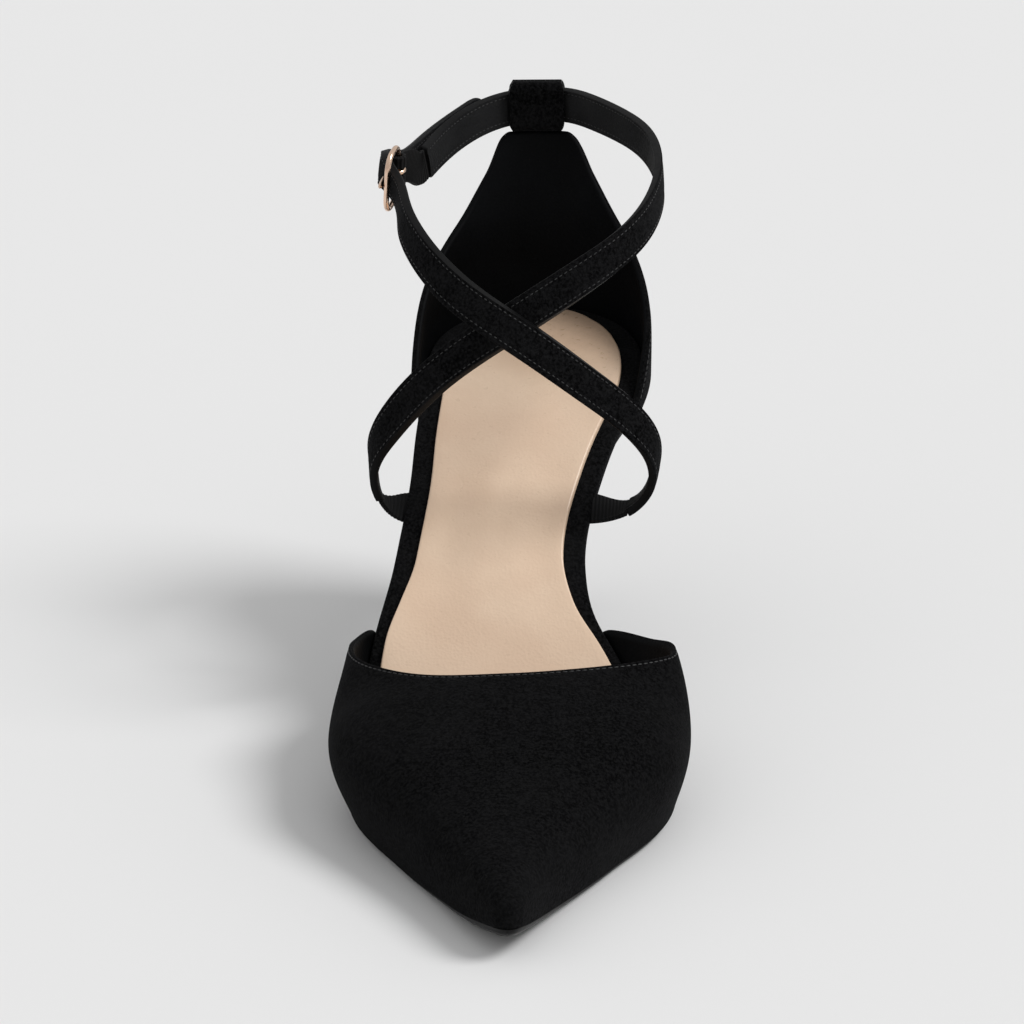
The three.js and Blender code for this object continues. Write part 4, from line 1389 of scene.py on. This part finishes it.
# Straps
@dataclass
class Path:
    """Smooth path through places, each with the way that the strap faces there."""

    places: Array
    outs: Array

    def __post_init__(self) -> None:
        """Measures the runs between places and fits the curves."""
        steps = np.linalg.norm(np.diff(self.places, axis=0), axis=1)
        self.runs = np.r_[0, np.cumsum(steps)]
        self.length = float(self.runs[-1])
        self.place_curve = NaturalCurve(self.runs, self.places)
        self.out_curve = NaturalCurve(self.runs, self.outs)

    def frames(self, run: Array) -> tuple[Array, Array, Array, Array]:
        """Place, along, away and across at runs of the path.

        Args:
            run: Distances from the start.

        Returns:
            Four arrays of vectors. Along, away and across are square to each other.
        """
        place = self.place_curve(run)
        along = unit(self.place_curve(run + PATH_PROBE) - self.place_curve(run - PATH_PROBE))
        away = self.out_curve(run)
        away = unit(away - along * (away * along).sum(-1, keepdims=True))
        return place, along, away, np.cross(away, along)

    def offset(self, run: Array, across: Array, away: Array) -> Array:
        """Points beside the path."""
        place, _, out, side = self.frames(run)
        return place + side * np.asarray(across)[..., None] + out * np.asarray(away)[..., None]


def facing(turn: float, tip: float) -> Array:
    """Way a strap faces: a turn from the toe towards the inner side, and a tip upwards, in degrees."""
    a, b = np.radians(turn), np.radians(tip)
    return np.stack([np.sin(a) * np.cos(b), -np.cos(a) * np.cos(b), np.sin(b)], -1)


@dataclass(frozen=True)
class BandForm:
    """Section of a strap or an elastic: a rounded, slightly domed band."""

    width: float
    thickness: float
    corner: float
    dome: float = 0.0
    face_steps: int = 12
    corner_steps: int = 4

    def section(self) -> StitchRow:
        """Points round the section.

        Returns:
            Across and away of each point, and the strip after it: 0 on the face, 1 on the edge, 2 behind.
        """
        w, t, r = self.width / 2, self.thickness / 2, self.corner
        flat = np.linspace(-(w - r), w - r, self.face_steps)
        turn = np.linspace(0, np.pi / 2, self.corner_steps + 1)[1:]
        quarter = np.stack([w - r + r * np.sin(turn), t - r + r * np.cos(turn)], -1)
        face = np.stack([flat, np.full_like(flat, t)], -1)
        half = np.concatenate([face, quarter])
        across = np.r_[half[:, 0], -half[:, 0]]
        away = np.r_[half[:, 1], -half[:, 1]]
        away = away + self.dome * (1 - (across / w) ** 2) * np.sign(away)
        step = self.corner_steps
        first = np.r_[np.zeros(self.face_steps + step - 2), 1, 1]
        behind = np.r_[np.full(self.face_steps + step - 2, 2), 1, 1]
        return across, away, np.r_[first, behind].astype(int)


class StrapEnd(Enum):
    """How a strap ends."""

    SQUARE = 0
    ROUND = 1


@dataclass
class Band:
    """One strap or elastic along a path."""

    name: str
    path: Path
    form: BandForm
    start: float
    end: float
    finish: StrapEnd = StrapEnd.SQUARE
    steps: int = 300
    seam_inset: float = 1.35
    seam_depth: float = 0.16
    seam_width: float = 0.55
    end_round: float = 0.7
    fine_run: float = 2.5
    fine_steps: float = 0.05
    eased_steps: int = 16

    def width_share(self, run: Array) -> Array:
        """Share of the full width: 1, and a circle's or a short ellipse's quarter at the ends.

        Args:
            run: Distances along the path.

        Returns:
            The shares.
        """
        half = self.form.width / 2
        tail = half if self.finish is StrapEnd.ROUND else self.end_round
        late = np.clip((run - (self.end - tail)) / tail, 0, 1)
        early = np.clip(((self.start + self.end_round) - run) / self.end_round, 0, 1)
        shrink = 1 if self.finish is StrapEnd.ROUND else self.end_round / half
        back = 1 - shrink * (1 - np.sqrt(np.clip(1 - late**2, 0, 1)))
        front = 1 - self.end_round / half * (1 - np.sqrt(np.clip(1 - early**2, 0, 1)))
        return back * front

    def piece(self) -> Piece:
        """Builds the band. Its face sinks a little along the two stitch rows, a bell shape round each.

        Returns:
            The new object.
        """
        span = self.end - self.start
        even = np.linspace(0, 1, self.steps)
        edge = min(0.1, self.fine_run / span)
        steps, shares = [0, self.fine_steps, 1 - self.fine_steps, 1], [0, edge, 1 - edge, 1]
        run = self.start + span * np.interp(even, steps, shares)
        last = self.eased_steps
        eased = self.end - (self.end - run[-last]) * np.cos(np.linspace(0, np.pi / 2, last))
        run = np.sort(np.r_[run[:-last], eased])
        across, away, slots = self.form.section()
        row = self.form.width / 2 - self.seam_inset
        sink = self.seam_depth * hump(np.abs(across), row, self.seam_width) * np.sign(away)
        grid_across = across[None] * self.width_share(run)[:, None]
        grid_away = np.broadcast_to(away - sink, grid_across.shape)
        rings = self.path.offset(run[:, None] + 0 * grid_across, grid_across, grid_away)
        weave = np.stack([run[:, None] + 0 * grid_across, grid_across, grid_away], -1)
        return swept_piece(self.name, rings, slots, weave)

    def stitch_rows(self, pitch: float, margin: float = 2.0, behind: bool = False) -> list[StitchRow]:
        """Places of the stitches in the two rows along the edges.

        Args:
            pitch: Distance between stitches.
            margin: Length left free at a square end.
            behind: Whether the rows lie on the back.

        Returns:
            One row for each edge.
        """
        row = self.form.width / 2 - self.seam_inset
        last = self.form.width / 2 if self.finish is StrapEnd.ROUND else margin
        count = int((self.end - self.start - margin - last) / pitch)
        run = np.linspace(self.start + margin, self.end - last, count)
        level = self.form.thickness / 2 + self.form.dome * 0.5 - self.seam_depth * 0.8
        face = -1 if behind else 1
        _, along, away, _ = self.path.frames(run)
        edges = [self.path.offset(run, side.value * row + 0 * run, face * level + 0 * run) for side in Side]
        return [(edge, along, face * away) for edge in edges]

    def cross_stitches(self, run: float, pitch: float) -> StitchRow:
        """Places of a short row of stitches across the band.

        Args:
            run: Distance along the path.
            pitch: Distance between stitches.

        Returns:
            The row.
        """
        row = self.form.width / 2 - self.seam_inset
        across = np.linspace(-row, row, max(2, int(2 * row / pitch) + 1))
        runs = np.full(len(across), run)
        _, _, away, side = self.path.frames(runs)
        level = self.form.thickness / 2 + self.form.dome - self.seam_depth * 0.6
        return self.path.offset(runs, across, np.full(len(across), level)), side, away


@dataclass
class BuckleFrame:
    """The buckle's own frame on the ankle: its place, and the ways along, away and across."""

    bed: FootBed
    along_share: float = 0.7913
    across_share: float = -0.468
    up_share: float = 1.066
    turn: float = -100
    tip: float = 7
    pitch: float = 13
    length: float = 16.4
    depth: float = 11.5
    bar: float = 1.4
    corner: float = 4.0
    prong: float = 1.2

    def __post_init__(self) -> None:
        """Sets the three directions square to each other."""
        self.away = facing(self.turn, self.tip)
        along = np.array([0, 1, np.tan(np.radians(self.pitch))])
        self.along = unit(along - self.away * (along @ self.away))
        self.across = np.cross(self.away, self.along)
        y = self.bed.toe_y + self.bed.sole_length * self.along_share
        z = self.bed.level(np.array(y), self.bed.board_high) + self.up_share * self.bed.ankle_height
        self.place = np.array([self.across_share * self.bed.ball_width, y, float(z)])

    @property
    def bar_run(self) -> float:
        """How far each bar lies from the buckle's middle."""
        return (self.depth - self.bar) / 2

    @property
    def curl(self) -> float:
        """Radius of the prong's curl round the heel bar."""
        return self.bar / 2 + self.bed.gap + self.prong / 2

    def at(self, across: Array, away: Array, along: Array) -> Array:
        """Point in the buckle's frame.

        Args:
            across: Distance across the strap.
            away: Distance out of its face.
            along: Distance along it.

        Returns:
            Points in space.
        """
        reach = np.stack(np.broadcast_arrays(across, away, along), -1)
        return self.place + reach @ np.array([self.across, self.away, self.along])


def rounded_frame(half: tuple[float, float], corner: float, steps: int) -> Array:
    """Points round a rectangle with rounded corners.

    Args:
        half: Half of its width and of its height.
        corner: Radius of the corners.
        steps: Points on each corner.

    Returns:
        Points in the plane.
    """
    angle = np.tile(np.linspace(0, np.pi / 2, steps), 4) + np.repeat(np.arange(4), steps) * np.pi / 2
    sides = np.repeat([[1, 1], [-1, 1], [-1, -1], [1, -1]], steps, axis=0)
    return sides * (np.array(half) - corner) + corner * np.stack([np.cos(angle), np.sin(angle)], -1)


def rod_rings(places: Array, up: Array, radii: Array, sides: int, closed: bool) -> Array:
    """Rings of a round bar along places.

    Args:
        places: Places along its middle.
        up: A direction square to the bar everywhere.
        radii: Radius at each place.
        sides: Points in a ring.
        closed: Whether the bar closes on itself.

    Returns:
        One ring for each place.
    """
    if closed:
        along = unit(np.roll(places, -1, 0) - np.roll(places, 1, 0))
    else:
        along = unit(np.gradient(places, axis=0))
    side = np.cross(up[None], along)
    angle = (2 * np.pi * np.arange(sides) / sides)[None, :, None]
    spokes = up * np.cos(angle) + side[:, None] * np.sin(angle)
    return places[:, None] + spokes * np.broadcast_to(radii, len(places))[:, None, None]


@dataclass
class Straps:
    """The crossed ankle straps, their elastics, the buckle and the loop at the back."""

    bed: FootBed
    wardrobe: Wardrobe
    buckle: BuckleFrame
    width: float = 9.0
    thickness: float = 2.0
    elastic_width: float = 8.5
    elastic: float = 1.1
    anchor_length: float = 8.0
    anchor_gap: float = 0.85
    anchor_along: float = 0.657
    tuck: float = 1.1
    seam_run: float = 3.0
    loop_width: float = 14.5
    loop_wall: float = 1.2
    loop_slack: float = 2.5
    loop_play: float = 1.6
    loop_corner: float = 2.6
    stitch_pitch: float = 1.35
    rib_pitch: float = 0.85
    row_back: float = 1.2
    row_step: float = 3.2
    row_pitch: float = 1.4
    rib_height: float = 0.07
    rib_steps: int = 10
    sleeve_gap: float = 0.4
    loop_bend: float = 1.5
    loop_step: float = 0.35

    def __post_init__(self) -> None:
        """Works out the paths of both straps and of the buckle's elastic."""
        gap = self.bed.gap
        names = "along across up turn tip"
        over = table(
            names,
            (0.6555, 0.345, -0.02, 90, -66), (0.645, 0.425, 0.165, 92, -30), (0.6345, 0.425, 0.355, 72, 2),
            (0.624, 0.362, 0.535, 42, 18), (0.609, 0.225, 0.765, 22, 20), (0.5995, 0.01, 1.03, 2, 18),
            (0.62, -0.211, 1.155, -22, 12), (0.6581, -0.331, 1.16, -45, 9), (0.7104, -0.407, 1.128, -66, 6),
        )
        end = table(
            names,
            (0.8532, -0.468, 0.965, -104, 0), (0.9236, -0.377, 0.921, -122, 0),
            (1.0035, -0.184, 0.996, -145, 0),
        )
        under = table(
            names,
            (0.6555, -0.485, 0, -90, -58), (0.647, -0.516, 0.145, -92, -30), (0.638, -0.512, 0.32, -74, 0),
            (0.629, -0.455, 0.5, -44, 16), (0.621, -0.295, 0.77, -22, 20), (0.6235, -0.032, 1.012, 0, 18),
            (0.6385, 0.193, 1.151, 22, 12), (0.6712, 0.344, 1.174, 50, 8), (0.7315, 0.427, 1.112, 74, 5),
            (0.8049, 0.444, 1.055, 92, 2), (0.8793, 0.391, 1.028, 118, 0), (0.9306, 0.309, 1.012, 132, 0),
            (0.9739, 0.202, 1.01, 150, 0), (1.002, 0.103, 1.007, 168, 0), (1.0091, 0, 1.003, 180, 0),
            (1.002, -0.103, 0.99, 192, 0), (0.9718, -0.223, 0.968, 214, 0), (0.9266, -0.325, 0.929, 234, 0),
            (0.8894, -0.375, 0.913, 244, 0),
        )
        below = -(self.buckle.bar + self.thickness) / 2 - 3 * gap
        above = (self.buckle.bar + self.thickness) / 2 + self.elastic + 3 * gap
        run = self.buckle.bar_run
        bars = (self.buckle.at(0, [below, above], [-run, run]), np.tile(self.buckle.away, (2, 1)))
        self.over = self.path(self.anchor(Side.INNER), self.rows(over), bars, self.rows(end))
        self.under = self.path(self.anchor(Side.OUTER), self.rows(under))
        place, along, away, _ = (part[0] for part in self.under.frames(np.array([self.under.length])))
        start = self.buckle.at(0, 0, run)
        seam = place + along * self.seam_run
        places = np.array([start, (start + place) / 2, seam, place + along * 2 * gap])
        outs = np.array([self.buckle.away, self.buckle.away + away, away, away])
        self.tail = Path(places, outs)
        self.loop_place = self.rows({key: value[14:15] for key, value in under.items()})[0][0]

    def rows(self, rows: dict[str, Array]) -> tuple[Array, Array]:
        """Places and facings of a table's rows.

        Args:
            rows: Columns of shares and of angles in degrees.

        Returns:
            The places, and the way the strap faces at each.
        """
        y = self.bed.toe_y + self.bed.sole_length * rows["along"]
        bed = self.bed.level(np.minimum(y, self.bed.toe_y + self.bed.sole_length), self.bed.board_high)
        z = bed + rows["up"] * self.bed.ankle_height
        return np.stack([rows["across"] * self.bed.ball_width, y, z], -1), facing(rows["turn"], rows["tip"])

    def anchor(self, side: Side) -> tuple[Array, Array]:
        """Root of a strap: flat below the foot bed's side.

        Args:
            side: Side of the shoe.

        Returns:
            One place and the way the strap faces there.
        """
        plan = self.bed.edge_point(self.bed.station(self.anchor_along), side.value, self.anchor_gap)
        middle = (self.bed.board_low + self.bed.board_high) / 2
        step = 0.1
        levels = self.bed.level(plan[1] + np.array([-step, 0, step]), middle)
        out = unit(np.array([0, (levels[2] - levels[0]) / (2 * step), -1]))
        return np.array([[*plan, levels[1]]]), out[None]

    @staticmethod
    def path(*parts: tuple[Array, Array]) -> Path:
        """Path through several groups of places."""
        return Path(np.concatenate([part[0] for part in parts]), np.concatenate([part[1] for part in parts]))

    def strap_pieces(self) -> None:
        """Builds both straps with their stitches."""
        form = BandForm(self.width, self.thickness, corner=0.6, dome=0.12)
        start = self.anchor_length + self.bed.gap
        over = Band("strap_over_band", self.over, form, start, self.over.length, StrapEnd.ROUND)
        under = Band("strap_under_band", self.under, form, start, self.under.length, steps=400)
        materials = [self.wardrobe.strap_suede, self.wardrobe.edge, self.wardrobe.backing]
        for band, node in ((over, "strap_over"), (under, "strap_under")):
            dress(band.piece(), Slot.SUEDE, materials, node)
            rows = band.stitch_rows(self.stitch_pitch) + band.stitch_rows(self.stitch_pitch, behind=True)
            crossed = [band.start + self.row_back]
            if band.finish is StrapEnd.SQUARE:
                crossed += [band.end - self.row_back, band.end - self.row_back - self.row_step]
            rows += [band.cross_stitches(run, self.row_pitch) for run in crossed]
            stitches = Stitches(length=0.95, width=0.34, height=0.22).piece(node + "_stitches", rows)
            dress(stitches, Slot.SUEDE, [self.wardrobe.thread])

    def rib_band(self, name: str, path: Path, start: float, end: float, node: str) -> None:
        """Elastic with real ribs: the thickness follows a cosine of the run.

        Args:
            name: Name of the piece.
            path: The path that it follows.
            start: Where it starts along the path.
            end: Where it ends.
            node: CAD node that it replaces.
        """
        form = BandForm(self.elastic_width, self.elastic, 0.3, face_steps=18, corner_steps=3)
        across, away, slots = form.section()
        run = np.linspace(start, end, int((end - start) / self.rib_pitch * self.rib_steps))
        swell = self.rib_height * np.cos(2 * np.pi * run / self.rib_pitch)
        flat = np.abs(away) > self.elastic / 2 - 0.01
        level = away[None] + swell[:, None] * np.sign(away) * flat
        side = np.broadcast_to(across, level.shape)
        rings = path.offset(run[:, None] + 0 * level, side, level)
        weave = np.stack([run[:, None] + 0 * level, side, level], -1)
        piece = swept_piece(name, rings, slots * 0, weave)
        dress(piece, Slot.ELASTIC, [self.wardrobe.webbing], node)

    def elastic_pieces(self) -> None:
        """Builds the elastics at both anchors and at the buckle, with the two sleeves round its heel bar."""
        self.rib_band("elastic_inner_web", self.over, -self.tuck, self.anchor_length, "elastic_medial")
        self.rib_band("elastic_outer_web", self.under, -self.tuck, self.anchor_length, "elastic_lateral")
        radius = self.buckle.bar / 2 + self.bed.gap + self.elastic / 2
        self.rib_band("elastic_buckle_web", self.tail, radius, self.tail.length, "elastic_buckle")
        slot = self.buckle.prong / 2 + self.sleeve_gap
        for side in Side:
            middle = side.value * (slot + self.elastic_width / 2) / 2
            width = self.elastic_width / 2 - slot
            across, away, _ = BandForm(width, self.elastic, 0.3, face_steps=8, corner_steps=3).section()
            turn = np.linspace(0, 2 * np.pi, 61)[:-1]
            swell = self.rib_height * np.cos(2 * np.pi * turn * radius / self.rib_pitch)
            reach = radius + away[None] + swell[:, None] * (away[None] > 0)
            along = self.buckle.bar_run + reach * np.cos(turn)[:, None]
            rings = self.buckle.at(middle + across[None], reach * np.sin(turn)[:, None], along)
            weave = np.stack([turn[:, None] * radius + 0 * reach, across[None] + 0 * reach, reach], -1)
            sleeve = swept_piece(f"elastic_sleeve_{side.name.lower()}", rings, weave=weave, closed=True)
            dress(sleeve, Slot.ELASTIC, [self.wardrobe.webbing])

    def buckle_pieces(self) -> None:
        """Builds the buckle's ring with rounded corners, and its prong with the curl and a tapered tip."""
        buckle = self.buckle
        form = rounded_frame(((buckle.length - buckle.bar) / 2, buckle.bar_run), buckle.corner, 14)
        rings = rod_rings(buckle.at(form[:, 0], 0, form[:, 1]), buckle.away, buckle.bar / 2, 24, True)
        ring = swept_piece("buckle_ring", rings, closed=True, sharp=180)
        dress(ring, Slot.METAL, [self.wardrobe.metal], "buckle_frame")
        curl = np.linspace(0.35 * np.pi, 2.5 * np.pi, 40)
        share = np.linspace(0, 1, 26)[1:]
        past = 0.3
        run = -(2 * buckle.bar_run + buckle.bar / 2 + past) * share
        bow = buckle.curl + 0.25 * np.sin(np.pi * share)
        away = np.r_[buckle.curl * np.sin(curl), bow]
        along = np.r_[buckle.bar_run + buckle.curl * np.cos(curl), buckle.bar_run + run]
        radii = np.full(len(away), buckle.prong / 2)
        radii[-4:] *= np.array([0.97, 0.88, 0.66, 0.25])
        radii[:2] *= np.array([0.3, 0.8])
        rings = rod_rings(buckle.at(0, away, along), buckle.across, radii, 16, False)
        prong = swept_piece("buckle_tongue", rings, sharp=180)
        dress(prong, Slot.METAL, [self.wardrobe.metal], "buckle_prong")

    def loop_piece(self) -> None:
        """Builds the loop at the back: a flat band bent round the strap, with rounded shoulders."""
        depth = (self.thickness + self.loop_slack + self.loop_wall) / 2
        height = (self.width + self.loop_play + self.loop_wall) / 2
        loop = rounded_frame((depth, height), self.loop_bend, 9)
        dense = np.concatenate([loop, loop[:1]])
        share = evenly(dense, self.loop_step)[:-1]
        knots = np.linspace(0, 1, len(dense))
        places = np.stack([np.interp(share, knots, dense[:, i]) for i in (0, 1)], -1)
        along = unit(np.roll(places, -1, 0) - np.roll(places, 1, 0))
        out = np.stack([along[:, 1], -along[:, 0]], -1)
        total = height + self.loop_wall / 2
        drop = np.clip((np.abs(places[:, 1]) - (total - self.loop_corner)) / self.loop_corner, 0, 1)
        half = self.loop_width / 2 - self.loop_corner * (1 - np.sqrt(1 - drop**2)) * 0.8
        form = BandForm(self.loop_width, self.loop_wall, 0.4, face_steps=16, corner_steps=3)
        across, away, slots = form.section()
        x = across[None] * half[:, None] / (self.loop_width / 2)
        offset = places[:, None] + out[:, None] * away[None, :, None]
        centre = self.loop_place - np.array([0, self.loop_slack / 2 - self.bed.gap, 0])
        rings = np.stack([x, offset[..., 0], offset[..., 1]], -1) + centre
        piece = swept_piece("loop_band", rings, slots, closed=True)
        finishes = [self.wardrobe.suede, self.wardrobe.edge, self.wardrobe.backing]
        dress(piece, Slot.SUEDE, finishes, "back_loop")

    def build(self) -> None:
        """Builds and dresses everything at the ankle."""
        self.strap_pieces()
        self.elastic_pieces()
        self.buckle_pieces()
        self.loop_piece()


# Studio
@dataclass
class Studio:
    """Pale paper floor, an even surround, one key light and the camera at the photograph's angle."""

    wardrobe: Wardrobe
    camera_place: Triple = (43.0, -770.46, 347.0)
    pitch: float = 19.0
    focal_pixels: float = 3070.0
    crop: float = 850.0
    crop_middle: tuple[float, float] = (354.0, 520.0)
    photo: float = 1024.0
    sensor: float = 36.0
    floor_reach: float = 9.0
    floor_rings: int = 12
    floor_sides: int = 64
    key_place: Triple = (0.9, -0.1, 1.05)
    key_spread: float = 25.0
    key_power: float = 1.76
    surround: float = 0.6

    def floor(self) -> None:
        """Builds the floor: a disc whose radius grows in steps from its middle."""
        radius = np.linspace(0, self.floor_reach / MM, self.floor_rings)[:, None]
        angle = (2 * np.pi * np.arange(self.floor_sides) / self.floor_sides)[None]
        grid = np.stack([radius * np.cos(angle), radius * np.sin(angle), 0 * radius * angle], -1)
        rows, columns = grid.shape[:2]
        floor = new_piece("studio_floor", grid.reshape(-1, 3), strip_faces(rows, columns, True))
        floor.data.materials.append(self.wardrobe.paper)

    def key_light(self) -> None:
        """Adds an even key light from one direction, soft by the angle under which it is seen."""
        data = bpy.data.lights.new("key_light", "SUN")
        data.angle = np.radians(self.key_spread)
        data.energy = self.key_power
        lamp = bpy.data.objects.new("key_light", data)
        bpy.context.scene.collection.objects.link(lamp)
        lamp.location = self.key_place
        lamp.rotation_euler = Vector(self.key_place).to_track_quat("Z", "Y").to_euler()

    def camera(self) -> None:
        """Adds the camera: the photograph's place, turned until the one shoe is in the middle."""
        data = bpy.data.cameras.new("camera")
        data.sensor_width = self.sensor
        data.lens = self.focal_pixels / self.crop * self.sensor
        data.clip_end = 100
        camera = bpy.data.objects.new("camera", data)
        bpy.context.scene.collection.objects.link(camera)
        camera.location = [value * MM for value in self.camera_place]
        sideways = np.arctan((self.photo / 2 - self.crop_middle[0]) / self.focal_pixels)
        upwards = np.arctan((self.photo / 2 - self.crop_middle[1]) / self.focal_pixels)
        view = Quaternion((1, 0, 0), np.radians(90 - self.pitch))
        camera.rotation_mode = "QUATERNION"
        camera.rotation_quaternion = view @ Quaternion((0, 1, 0), sideways) @ Quaternion((1, 0, 0), upwards)
        bpy.context.scene.camera = camera

    def world(self) -> None:
        """Sets an even white surround."""
        world = bpy.data.worlds.new("surround")
        world.use_nodes = True
        shade = world.node_tree.nodes["Background"]
        shade.inputs["Color"].default_value = (1, 1, 1, 1)
        shade.inputs["Strength"].default_value = self.surround
        bpy.context.scene.world = world

    def build(self) -> None:
        """Builds the studio."""
        self.floor()
        self.camera()
        self.world()
        self.key_light()
        bpy.context.scene.view_settings.view_transform = "Standard"


def main() -> None:
    """Builds the shoe from the sole up, then its studio."""
    logging.basicConfig(level=logging.INFO, format="%(message)s")
    bed = FootBed()
    wardrobe = Wardrobe()
    Layers(bed, wardrobe).build()
    Vamp(bed, wardrobe).build()
    Counter(bed, wardrobe).build()
    Heel(bed, wardrobe).build()
    Straps(bed, wardrobe, BuckleFrame(bed)).build()
    Studio(wardrobe).build()


if __name__ == "__main__":
    main()
